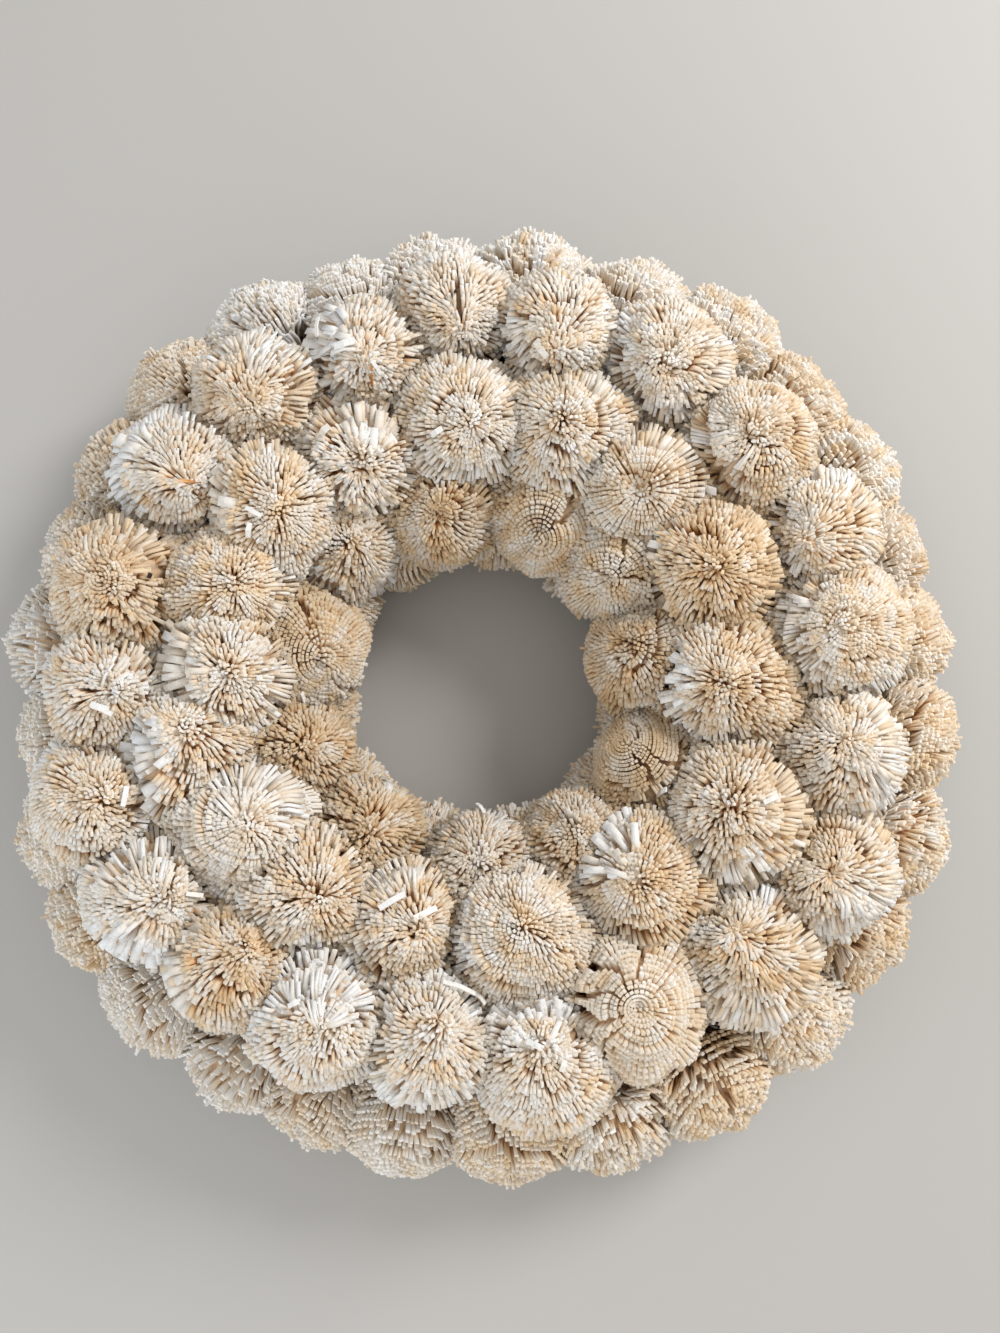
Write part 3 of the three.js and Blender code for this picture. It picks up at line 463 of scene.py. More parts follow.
def grow_pom(pom, rng):
    st = default_style(pom, rng)
    st.update(STYLE.get(pom.name, {}))
    pom.style = st
    R = pom.R
    a, x, y = pom.axis, pom.x, pom.y
    E = np.array(st["eye"])
    tight = st["tight"]
    loose = 0.60 * (1 - tight)
    brush = pom.row in ("outer", "hole")         # seen from the side: strands run out from the neck
    petal = float(np.clip((0.85 - tight) / 0.45, 0, 0.9)) if st["petal"] is None else st["petal"]
    if brush:
        loose = min(1.0, loose * 1.25 + 0.10)
    t_max = math.radians(st["open"] if brush else 106)
    size = R * 1.06 * t_max                      # length of the dome from its middle to the last row
    p0, p1 = st["pitch"] or (1.28 + 0.18 * petal, 1.72 + 0.56 * petal)
    width = st["width"] or 1.22 + 0.22 * petal
    if brush:
        p0, p1, width = p0 + 0.12, p1 + 0.15, width + 0.08
    bud = max(st["bud"], st["coil"])
    # the winding: rows at rho, strands at phi, cut by hand so no two are quite as wide
    rho, phi, rows, pit, wid, order, bunch = [], [], [], [], [], [], []
    s = 0.55
    k = 0
    bunches = 0
    start = rng.uniform(0, 2 * math.pi)
    while s < size:
        f = s / size
        coil = s < st["coil"]
        pitch = 1.15 if coil else 1.3 if s < st["bud"] else p0 + (p1 - p0) * min(1.0, f / 0.6) ** 1.2
        ring = 2 * math.pi * R * 1.08 * math.sin(min(s / (R * 1.06), math.pi / 2)) + 0.5
        w = 1.0 if coil else 1.08 if s < st["bud"] else width * (0.80 + 0.24 * min(1, f / 0.4)
                                                               + 0.42 * petal ** 2 * max(0.0, f - 0.4) / 0.6)
        n = max(4, int(round(ring / w)))
        if st["aligned"] and not coil:
            m = 14
            while m * 1.45 < n:
                m = int(m * 1.7)
            n = m
        j = np.arange(n)
        cut = np.exp(rng.normal(0, 0.03 if (coil or st["aligned"]) else 0.10 + 0.26 * loose, n))
        cut /= cut.sum()
        phi.append(start + 2 * math.pi * (np.cumsum(cut) - cut / 2))
        rho.append((s + pitch * j / n) / size)
        rows.append(np.full(n, k))
        pit.append(np.full(n, pitch))
        wid.append(ring * cut)
        order.append(j)
        bunch.append(bunches + np.cumsum(rng.random(n) < 0.42 + 0.2 * tight))
        bunches = bunch[-1][-1] + 1
        if not st["aligned"]:
            start += rng.uniform(0, 1)
        s += pitch
        k += 1
    rho, phi, rows, pit, wid, order, bunch = map(np.concatenate, (rho, phi, rows, pit, wid, order, bunch))
    N = len(rho)
    coil = rho * size < st["coil"]
    calm = np.where(coil, 0.15, 1.0)
    own = rng.normal(0, 1, (bunches + 1, 4))[bunch]        # what a bunch of neighbours shares
    # clumps: neighbours in a row lean together, and so do the rows below them
    clump = Waves(rng, 1.0, count=9, dims=2)
    arg = np.stack([np.cos(phi) * 1.3 * (0.4 + rho), np.sin(phi) * 1.3 * (0.4 + rho), rho * 0.5], 1)
    arc = R * np.sin(np.clip(rho * t_max, 0.05, math.pi / 2))
    drift = clump(arg)[:, 0] * (0.24 + 1.1 * loose)
    drift += Waves(rng, 0.42, count=9, dims=1)(arg)[:, 0] * (0.10 + 0.5 * loose)
    drift += rng.normal(0, 1, N) * (0.04 + 0.12 * loose) + own[:, 0] * 0.35 * loose
    drift *= calm
    cleft = np.zeros(N)
    for bearing, power in st["splits"]:
        b = math.radians(bearing) + 0.18 * np.sin(rho * 9 + bearing)
        d = ((phi - b + math.pi) % (2 * math.pi) - math.pi) * arc
        near = np.exp(-np.abs(d) / 3.0)
        grow = np.clip((rho - 0.12) / 0.35, 0, 1)
        drift += np.sign(d) * near * power * 1.5 * grow
        cleft += near * power * grow
    phi = phi + drift / np.maximum(arc, 2.0)
    head = np.stack([np.cos(phi), np.sin(phi)], 1)
    q = E * (1 - np.minimum(rho, 1))[:, None] + rho[:, None] * head
    qn = np.linalg.norm(q, axis=1)
    az = q / np.maximum(qn, 1e-6)[:, None]
    side = az[:, :1] * x + az[:, 1:] * y
    t = qn * t_max
    if pom.row == "outer":                       # the side turned to the shoulder row is opened further
        t = t * (1 + 0.24 * np.clip(-(side @ pom.out), 0, 1) * np.clip(qn, 0, 1) ** 2)
    # local row spacing: rows crowd on the eye's side
    crowd = np.clip(1 - (head @ E), 0.45, 1.6)
    step = pit * crowd
    # fans: sectors where only every second or third row is there, laid flat and long
    fan = np.zeros(N)
    fan_tone = np.zeros(N)
    bold = np.ones(N)
    pace = np.zeros(N)
    drop = np.zeros(N, bool)
    under = np.zeros(N, bool)
    bear = np.degrees(phi)
    for bearing, half, begin, tone, shown, wide_by in st["fans"]:
        d = np.abs((bear - bearing + 180) % 360 - 180)
        edge = half * (1 + 0.15 * np.sin(rows * 2.3 + bearing)) + rng.normal(0, 2, N)
        inside = (d < edge) & (rho > begin) & (rho < 0.95)
        shown, wide_by = min(shown * 1.35, 9.0), min(wide_by, 2)
        along_row = (rho - begin) * size * crowd + 0.6 * np.sin(order * 1.7)
        last = np.floor((along_row - step) / shown) == np.floor(along_row / shown)
        extra = order % wide_by != 0
        fan = np.where(inside, np.where(last, 0.0, 1.0), fan)
        fan_tone = np.where(inside, tone, fan_tone)
        pace = np.where(inside, shown, pace)
        bold = np.where(inside, wide_by, bold)
        # the rows in between show only as short ends far down
        under |= inside & last
        drop |= inside & ((last & (rng.random(N) < 0.5)) | (extra & ~last))
    # the dome's surface and its slope
    free = np.clip((side @ pom.out) * (1 if pom.row in ("outer", "shoulder") else -1), 0, 1)
    free = free * (pom.row != "crown")
    wide = st["wide"] - (st["wide"] - (0.995 if pom.row in ("outer", "hole") else 1.05)) * free
    lobe = rng.uniform(0, 2 * math.pi, 2)
    turn_at = np.arctan2(az[:, 1], az[:, 0])
    wide = wide * (1 + (0.045 * np.sin(2 * turn_at + lobe[0]) + 0.035 * np.sin(3 * turn_at + lobe[1])) * (1 - free)
                   * (0.3 if brush else 1.0))
    st_, ct = np.sin(t), np.cos(t)
    high = st["high"]
    low = np.where(ct > 0, high, 0.55)
    T = pom.c + side * (R * wide * st_)[:, None] + a * (R * low * ct)[:, None]
    slope = np.arctan2(st_ * low, np.maximum(ct, -0.5) * wide)
    # how far each strand leans: upright in the middle, flat and then drooping at the rim
    kk = max(st["lie"], 0.05)
    lean = math.radians(st["reach"]) * (1 - np.exp(-kk * rho * 1.25)) / (1 - math.exp(-kk * 1.25))
    opened = petal * np.clip((rho * size - bud - 0.5) / 5.0, 0, 1)
    lean = lean + (np.maximum(lean, np.minimum(slope + math.radians(60), math.radians(102))) - lean) * opened
    lay = np.clip(0.95 + pace * 0.045, 1.0, 1.30)
    lean = np.where(fan > 0, np.maximum(lean, np.minimum(slope + lay, math.radians(114))), lean)
    lean = np.where(under, np.minimum(lean, slope + 0.55), np.minimum(lean, slope + 1.30))
    if brush:
        flare = np.clip((rho - 0.55) / 0.45, 0, 1) * (0.10 + 0.35 * petal)
        lean = np.arctan2(wide * st_, low * ct + 0.80) + flare
    lean = lean + calm * (rng.normal(0, 0.03 + 0.13 * loose, N) + rng.normal(0, 0.06, rows.max() + 1)[rows]
                          + own[:, 1] * (0.04 + 0.20 * loose))
    lean = np.clip(lean, 0, 2.3)
    out2 = head[:, :1] * x + head[:, 1:] * y
    tang = -head[:, 1:] * x + head[:, :1] * y
    twist = (st["twist"] * np.clip(rho * 2, 0, 1) + clump(arg)[:, 1] * (0.06 + 0.18 * loose)
             + (rng.normal(0, 1, N) * (0.02 + 0.14 * loose) + own[:, 2] * 0.20 * loose)
             * (1 - 0.6 * fan) * calm)
    # heights: whole rows step in and out, single strands a little
    rowstep = rng.normal(0, (0.42 if st["aligned"] else 0.20) + 0.25 * loose, rows.max() + 2)
    wave = Waves(rng, 1.2, count=8, dims=1)(arg)[:, 0]
    length = (rowstep[rows] + wave * 0.5 + own[:, 3] * 0.55 * loose
              + rng.normal(0, 1, N) * (0.10 + 0.75 * loose)) * calm - cleft * 1.3
    short = rng.random(N)
    length = np.where(short < 0.10 * loose + 0.02, length - 1.8, length)
    length = np.where(short > 1 - 0.08 * loose - 0.01, length + 1.1, length)
    surf = Waves(rng, 16.0, dims=1)(T)[:, 0] * 0.8
    mid = rho * size
    if st["knob"]:
        kr = 3.4 * st["knob"]
        length += np.where(mid < kr, 1.5, 0) - 1.6 * np.exp(-((mid - kr - 1.0) / 0.9) ** 2)
    if st["hollow"]:
        length -= 4.0 * st["hollow"] * np.exp(-(mid / (2.2 + 1.6 * st["hollow"])) ** 2)
    normal = unit(side * (st_ / wide)[:, None] + a * (ct / low)[:, None])
    D = unit(np.sin(lean)[:, None] * out2 + np.cos(lean)[:, None] * a + tang * twist[:, None])
    T = T + D * np.clip(length, -5, 2.2)[:, None] + normal * (surf - under * (1.5 + 0.16 * pace))[:, None]
    # strands reach further into the corners that are left open between poms
    corner = np.clip((13 - ways_out(T + normal * 1.0, unit(normal + D), pom)) / 9.0, 0, 1) * (rho > 0.4)
    corner = corner * (fan == 0) * np.where(normal[:, 2] > -0.1, 1.0, 0.0)
    T = T + D * (corner * (0.15 * R + 0.10 * R * corner))[:, None]
    # neighbours: where two poms meet, tips turn up and slide along the flat between them
    gone = drop.copy()
    turn = np.zeros(N)
    for n, off in pom.planes:
        over = T @ n - off
        give = rng.normal(1.0, 0.9, N)
        gone |= over > 6.5
        push = np.maximum(0, over - give)
        T = T - n * (push * 0.96)[:, None] + a * (np.minimum(push, 4) * 0.42 * (a @ n < 0.7))[:, None]
        turn = np.maximum(turn, np.clip((over + 5.0) / 5.0, 0, 1) * 4.0 + np.minimum(push, 3))
    lean = lean - turn * 0.10 * np.clip(lean - 0.5, 0, 1) / 0.8
    D = unit(np.sin(lean)[:, None] * out2 + np.cos(lean)[:, None] * a + tang * twist[:, None])
    delta = np.clip(lean - slope, 0, 1.3)
    # how a strand runs: straight from the neck, or up and then over in a bend
    kind = np.where((fan > 0) | (delta > 0.50), 4, np.where(delta > 0.18, 1, 0))
    kind = np.where((rho > 0.62) & (kind == 0), 1, kind)
    kind = np.where((kind == 4) & (fan == 0) & (rng.random(N) < 0.85), 2, kind)
    kind = np.where(under, 1, kind)
    if brush:
        kind = np.where((rho > 0.72) & (petal > 0.3), 2, np.where(rho > 0.35, 1, 0))
    bent = kind >= 2
    lean_mid = np.minimum(slope * 0.92 + delta * (0.36 + 0.25 * (fan > 0)) + rng.normal(0, 0.06, N), lean)
    D_mid = unit(np.sin(lean_mid)[:, None] * out2 + np.cos(lean_mid)[:, None] * a + tang * (twist * 0.6)[:, None])
    lean_mid = np.where(fan > 0, lean - (1.3 + 0.45 * pace) / R - 0.04, lean_mid)
    if brush:
        lean_mid = lean - 0.7 * flare
    lean_low = lean_mid - 0.10 if brush else slope * 0.75
    D_low = unit(np.sin(lean_low)[:, None] * out2 + np.cos(lean_low)[:, None] * a)
    l1 = 1.3 + np.where(fan > 0, 0.45 * pace, 0.62 * step) + rng.uniform(-0.3, 0.5, N)
    l2 = np.where(fan > 0, 0.5 * pace + 0.8, 0.16 * R) + rng.uniform(0, 0.8, N)
    l3 = 0.22 * R
    if brush:
        l1 = rng.uniform(0.30, 0.40, N) * R
        l2 = np.full(N, 0.45 * R)
        l3 = 0.45 * R
    K2 = T - D * l1[:, None]
    K1 = K2 - D_mid * l2[:, None]
    B = np.where(bent[:, None], K1 - D_low * l3, T - D * (np.where(kind == 0, 0.80, 0.60) * R)[:, None])
    for n, off in pom.planes:
        for P, keep in ((B, 0.3), (K1, 0.2), (K2, -0.4)):
            P -= n * np.maximum(0, P @ n - off + keep)[:, None]
    low_z = 1.0 + rng.uniform(0, 0.8, N)
    for P, lift in ((T, 0.0), (K2, 0.3), (K1, 0.4), (B, 0.4)):
        P[:, 2] = np.maximum(P[:, 2], low_z + lift)
    gone |= inside_ring(T, 0.3)
    ways = ways_out(T + normal * 1.0, unit(normal + D), pom)
    gone |= ways <= 1
    # the least seen strands run straight
    kind = np.where((kind == 4) & (fan == 0) & (ways <= 9) & (not brush), 2, kind)
    plain = (ways <= 5) | (normal[:, 2] < -0.25)
    kind = np.where(plain & (kind == 4), 2, np.where(plain & (kind == 2), 1, kind))
    straight = (kind == 1) & bent
    B = np.where(straight[:, None], T - D * 0.5 * R, B)
    ok = ~gone
    (T, B, K1, K2, D, D_mid, tang, rows, pit, wid, step, fan, fan_tone, rho, arc, bear, delta, lean, coil, kind,
     calm, bold, pace, own, ways) = (v[ok] for v in (T, B, K1, K2, D, D_mid, tang, rows, pit, wid, step, fan, fan_tone,
                                               rho, arc, bear, delta, lean, coil, kind, calm, bold, pace, own,
                                               ways))
    N = len(T)
    bent = kind >= 2
    length = np.linalg.norm(T - B, axis=1)
    last = np.where(bent[:, None], K2, B)
    D = unit(T - last)
    D_knee = unit(D + D_mid)
    # cross-section: across the row, and through the strip
    spin = (rng.normal(0, 1, N) * (0.03 + 0.22 * loose) + own[:, 0] * 0.20 * loose) * (1 - 0.6 * fan) * calm
    lop = rng.normal(0, 0.10 * loose, N) * calm

    def section(direction, roll):
        ta = unit(tang - direction * np.sum(tang * direction, 1)[:, None])
        tb = np.cross(direction, ta)
        c, s = np.cos(roll)[:, None], np.sin(roll)[:, None]
        return ta * c + tb * s, tb * c - ta * s

    ta, tb = section(D, spin)
    ka, kb = section(D_knee, spin * 0.55)
    ja, jb = section(D_mid, spin * 0.2)
    fill = np.where(coil, 1.05, 0.985 - 0.10 * loose)
    fine = np.where(coil | (fan > 0), 1.0, 0.96 - 0.05 * loose)
    wa = np.clip(wid, 0.7, 2.5) * fine * fill * (1 + rng.uniform(-0.04 - 0.20 * loose, 0.02 + 0.10 * loose, N) * calm) * 0.5
    room = step * np.cos(delta)
    wb = np.clip(room * (0.97 - 0.07 * loose), 0.60, 1.15) * (1 - rng.uniform(0, 0.20, N) * calm) * 0.5
    wb = np.where(bent, np.clip(wb * 0.85, 0.28, 0.34 + 0.10 * tight), wb)
    wb = np.where(coil, 0.42, wb)
    wb = np.where(fan > 0, np.clip(0.66 - pace * 0.05, 0.27, 0.42) * 0.8 + rng.uniform(-0.04, 0.05, N), wb)
    wa = np.where(fan > 0, wa * 0.98 * bold * rng.uniform(0.78, 1.05, N), wa)
    foot = np.clip(1.15 - length * np.sin(np.clip(lean, 0, 1.57)) / np.maximum(arc, 2.0), 0.62, 1.0)
    sx = np.array([-1, 1, 1, -1.0])
    sy = np.array([-1, -1, 1, 1.0])
    slant = rng.normal(0, 1, (N, 2)) * ((0.06 + 0.18 * loose) * calm)[:, None]
    pinch = 1 - rng.uniform(0, 0.14, (N, 4)) * calm[:, None] - 0.10 * (bent & (fan == 0))[:, None]
    knee_width = np.where(fan > 0, 0.92, 0.50 + 0.50 * foot)
    tips = np.empty((N, 4, 3))
    knee2 = np.empty((N, 4, 3))
    knee1 = np.empty((N, 4, 3))
    for c in range(4):
        up = slant[:, 0] * sx[c] + slant[:, 1] * sy[c]
        tips[:, c] = (T + ta * (wa * sx[c] * pinch[:, c] + lop)[:, None] + tb * (wb * sy[c] * pinch[:, c])[:, None]
                      + D * up[:, None])
        knee2[:, c] = K2 + ka * (wa * 0.96 * sx[c])[:, None] + kb * (wb * 0.95 * sy[c])[:, None]
        knee1[:, c] = K1 + ja * (wa * knee_width * sx[c])[:, None] + jb * (wb * 0.85 * sy[c])[:, None]
    edge = np.stack([B - ja * (wa * foot)[:, None], B + ja * (wa * foot)[:, None]], 1)
    # colour: R shade of the strand, G warmth, B height along it, which the material turns into painted shade down the
    # strand, A painted shade
    # the pom's tone, doubled, is partly its own colour and partly painted light and shade of the pom as a whole
    tone = (0.52 + rng.normal(0, 0.09, N) + own[:, 1] * 0.06 + st["tone"] * 2.0 + fan_tone * 0.38 + fan * rng.normal(0, 0.12, N)
            + Waves(rng, 9.0, dims=1)(T)[:, 0] * 0.13)
    warm = 0.52 + 1.5 * (st["warm"] - 0.42) + rng.normal(0, 0.09, N) + own[:, 2] * 0.08 + Waves(rng, 12.0, dims=1)(T)[:, 0] * 0.44
    if pom.row in ("outer", "shoulder", "crown"):             # painted cool light: paler pith toward the left and the far side
        away = (pom.c - CENTRE) / 170.0
        warm = warm - 0.12 - 0.10 * max(0.0, away[1]) + 0.14 * away[0]
    ang, strength = st["side"]
    warm = warm + 1.25 * strength * np.cos(np.radians(bear - ang)) * np.clip(rho * 1.5, 0, 1) - fan * fan_tone * 0.5
    whole = l3 + np.linalg.norm(K2 - K1, axis=1) + np.linalg.norm(T - K2, axis=1)
    h2 = 1 - 0.8 * np.linalg.norm(T - K2, axis=1) / np.maximum(whole, 1)
    h2 = np.where(fan > 0, 0.95, h2)
    h1 = np.where(fan > 0, 0.80, 0.42)
    if pom.row == "outer":
        # painted light: open strands at the rim of the outer row are made whiter and cooler, and cooler still toward
        # the left
        painted_rim_light = np.clip((rho - 0.70) / 0.3, 0, 1) * np.clip((ways - 14) / 6.0, 0, 1)
        tone, warm = tone + 0.16 * painted_rim_light, warm - 0.22 * painted_rim_light - 0.24 * min(1.0, max(0.0, 0.2 - away[0]))
    painted_shade_between_poms = np.clip((17 - ways) / 14.0, 0, 1) * (fan == 0)     # painted shade: down between poms, where few ways out are open, the pith is made duller and warmer
    warm = warm + 0.30 * painted_shade_between_poms
    # painted shade: the inner and hole rows are darkened as a whole, and strands down between poms more
    painted_shade = (0.87 if pom.row in ("inner", "hole") else 1.0) - 0.30 * painted_shade_between_poms
    groups = []
    one = np.ones(N)
    h0 = one * (0.45 if brush else 0.0)
    if brush:
        h2 = np.maximum(h2, 0.9)
    for code, body, heights in (
            (0, [B[:, None]], [h0] + [one] * 4),
            (1, [edge], [h0] * 2 + [one] * 4),
            (2, [edge, knee2], [h0] * 2 + [h2] * 4 + [one] * 4),
            (4, [edge, knee1, knee2], [h0] * 2 + [h1] * 4 + [h2] * 4 + [one] * 4)):
        pick = kind == code
        V = np.concatenate([part[pick] for part in body] + [tips[pick]], 1)
        V[:, :, 2] = np.maximum(V[:, :, 2], 0.15)
        col = np.empty((len(V), len(heights), 4))
        # the alpha carries the painted shade
        col[:, :, 3] = painted_shade[pick][:, None]
        col[:, :, 0] = np.clip(tone[pick], 0, 1)[:, None]
        col[:, :, 1] = np.clip(warm[pick], 0, 1)[:, None]
        col[:, :, 2] = np.stack(heights, 1)[pick]
        groups.append((code, V, col))
    if st["chips"]:
        groups.append(loose_chips(pom, st, t_max))
    return groups


def loose_chips(pom, st, t_max):
    """Slivers and short ribbons that lie loose on a pom, each a thin bowed strip."""
    flat, shade = [], []
    R, a, x, y, high = pom.R, pom.axis, pom.x, pom.y, st["high"]
    for qx, qy, bearing, long, broad, tone in st["chips"]:
        r = math.hypot(qx, qy)
        tt = r * t_max
        sd = (x * qx + y * qy) / max(r, 1e-6)
        spot = pom.c + sd * R * st["wide"] * math.sin(tt) + a * R * high * math.cos(tt)
        up = unit(sd * math.sin(tt) / st["wide"] + a * math.cos(tt) / high)
        b = math.radians(bearing)
        run = x * math.cos(b) + y * math.sin(b)
        run = unit(run - up * (run @ up) + up * 0.06)
        across = np.cross(up, run)
        seed = tone < -1
        thick = 0.45 if not seed else 0.7
        spot = spot + up * (1.2 if not seed else 1.0)
        corners = []
        for e, lift, w in ((-0.5, -0.5, 0.9), (0.0, 0.25, 1.0), (0.5, -0.35, 0.92)):
            for i, j in ((-1, -1), (1, -1), (1, 1), (-1, 1)):
                corners.append(spot + run * e * long + up * (lift + j * thick * 0.5) + across * i * w * broad / 2)
        flat.append(corners)
        shade.append((0.0, 1.0, 0.0, 0.0) if seed else (min(1.0, 0.62 + 0.36 * tone), 0.12, 1.0, 1.0))
    return 3, np.array(flat), np.repeat(np.array(shade)[:, None, :], 12, 1)


def core_of(pom, rng):
    """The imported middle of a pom, from its dome down to its neck: a closed low shape."""
    rings = [(-0.92, 0.16), (-0.56, 0.54), (-0.14, 0.88), (0.20, 0.90), (0.48, 0.72)]
    if pom.row in ("outer", "hole"):
        rings = [(up, out * 0.80) for up, out in rings]
    n = 54
    ang = np.arange(n) * 2 * math.pi / n
    flute = np.where(np.arange(n) % 2 == 0, 1.0, 0.90) * rng.uniform(0.95, 1.03, n)
    pts = [pom.c + pom.axis * pom.R * -0.95]
    for up, out in rings:
        for t, f in zip(ang + rng.uniform(-0.02, 0.02, n), flute * rng.uniform(0.97, 1.02, n)):
            pts.append(pom.c + pom.axis * pom.R * up + (pom.x * math.cos(t) + pom.y * math.sin(t)) * pom.R * out * f)
    pts.append(pom.c + pom.axis * pom.R * 0.68)
    pts = np.array(pts)
    for nrm, off in pom.planes:
        pts = pts - nrm * np.maximum(0, pts @ nrm - off + 0.6)[:, None]
    pts[:, 2] = np.maximum(pts[:, 2], 2.0)
    faces = []
    for t in range(n):
        faces.append([0, 1 + (t + 1) % n, 1 + t])
        for r in range(len(rings) - 1):
            b = 1 + r * n
            faces.append([b + t, b + (t + 1) % n, b + n + (t + 1) % n, b + n + t])
        b = 1 + (len(rings) - 1) * n
        faces.append([b + t, b + (t + 1) % n, len(pts) - 1])
    # painted shade: through the alpha the whole core is darkened, its sunk flutes most
    shade = np.tile([0.50, 0.40, 0.76, 0.84], (len(pts), 1))
    shade[1:-1, 0] = np.tile(rng.uniform(0.30, 0.70, n), len(rings))
    shade[1:-1, 1] = np.tile(rng.uniform(0.30, 0.60, n), len(rings))
    shade[1:-1, 3] = np.tile(np.where(np.arange(n) % 2 == 0, 0.92, 0.60), len(rings))
    return pts, faces, shade


def mesh_object(name, verts, loops, sizes, col, uv, materials, mat_index=None, smooth=None):
    me = bpy.data.meshes.new(name)
    me.vertices.add(len(verts))
    me.vertices.foreach_set("co", (verts * MM).astype(np.float32).ravel())
    me.loops.add(len(loops))
    me.loops.foreach_set("vertex_index", loops.astype(np.int32))
    me.polygons.add(len(sizes))
    starts = np.concatenate([[0], np.cumsum(sizes)[:-1]]).astype(np.int32)
    me.polygons.foreach_set("loop_start", starts)
    if mat_index is not None:
        me.polygons.foreach_set("material_index", mat_index.astype(np.int32))
    me.polygons.foreach_set("use_smooth", np.zeros(len(sizes), bool) if smooth is None else smooth)
    if col is not None:
        at = me.color_attributes.new("pith", "FLOAT_COLOR", "POINT")
        at.data.foreach_set("color", col.astype(np.float32).ravel())
    if uv is not None:
        layer = me.uv_layers.new(name="OFBake")
        layer.data.foreach_set("uv", uv.astype(np.float32).ravel())
    for m in materials:
        me.materials.append(m)
    me.update(calc_edges=True)
    me.validate()
    ob = bpy.data.objects.new(name, me)
    bpy.context.scene.collection.objects.link(ob)
    return ob


def build_pom(pom, index, material):
    rng = np.random.default_rng(1000 + index)
    pom.planes = planes_of(pom)
    groups = grow_pom(pom, rng)
    core, core_faces, core_shade = core_of(pom, rng)
    count = sum(len(V) for _, V, _ in groups) + len(core_faces)
    g = math.ceil(math.sqrt(count))
    i = np.arange(count)
    corner = np.stack([i % g, i // g], 1) / g
    verts, cols, loops, sizes, uvs, soft = [], [], [], [], [], []
    base, done = 0, 0
    triangles = 0
    for code, V, col in groups:
        faces, cells, nv = KINDS[code]
        n = len(V)
        if n:
            flat = np.array([v for f in faces for v in f])
            loops.append((base + np.arange(n)[:, None] * nv + flat[None]).ravel())
            sizes.append(np.tile([len(f) for f in faces], n))
            soft.append(np.tile([False] + [code != 3] * (len(faces) - 1), n))
            cell = np.concatenate(cells)
            uvs.append((corner[done:done + n, None, :] + cell[None] / g).reshape(-1, 2))
            verts.append(V.reshape(-1, 3))
            cols.append(col.reshape(-1, 4))
            triangles += n * sum(len(f) - 2 for f in faces)
        base += n * nv
        done += n
    quad = np.array([[0.1, 0.1], [0.9, 0.1], [0.9, 0.9], [0.1, 0.9]])
    for f in core_faces:
        loops.append(np.array(f) + base)
        sizes.append(np.array([len(f)]))
        soft.append(np.array([True]))
        uvs.append(corner[done] + quad[:len(f)] / g)
        triangles += len(f) - 2
        done += 1
    verts.append(core)
    cols.append(core_shade)
    ob = mesh_object(pom.name, np.concatenate(verts), np.concatenate(loops), np.concatenate(sizes),
                     np.concatenate(cols), np.concatenate(uvs), [material], smooth=np.concatenate(soft))
    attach(ob, "root")
    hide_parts(pom.node)
    return ob, triangles


# ---------------------------------------------------------------- the ring base
def ring_point(turn, around, grow):
    """A point on the ring's skin: turn along the ring, around its section, both in radians."""
    cs, sn = np.cos(around), np.sin(around)
    x = (RING_HALF_WIDTH + grow) * np.sign(cs) * np.abs(cs) ** (2 / 2.4)
    z = 14 + np.where(sn > 0, RING_HEIGHT - 14, 24) * np.sign(sn) * np.abs(sn) ** (2 / 2.4) + grow * sn
    z = np.maximum(z, 0.25 - 0.25 * np.clip(grow, 0, 1))
    r = RING_RADIUS + x
    return np.stack([CENTRE[0] + r * np.cos(turn), CENTRE[1] + r * np.sin(turn), z], -1)


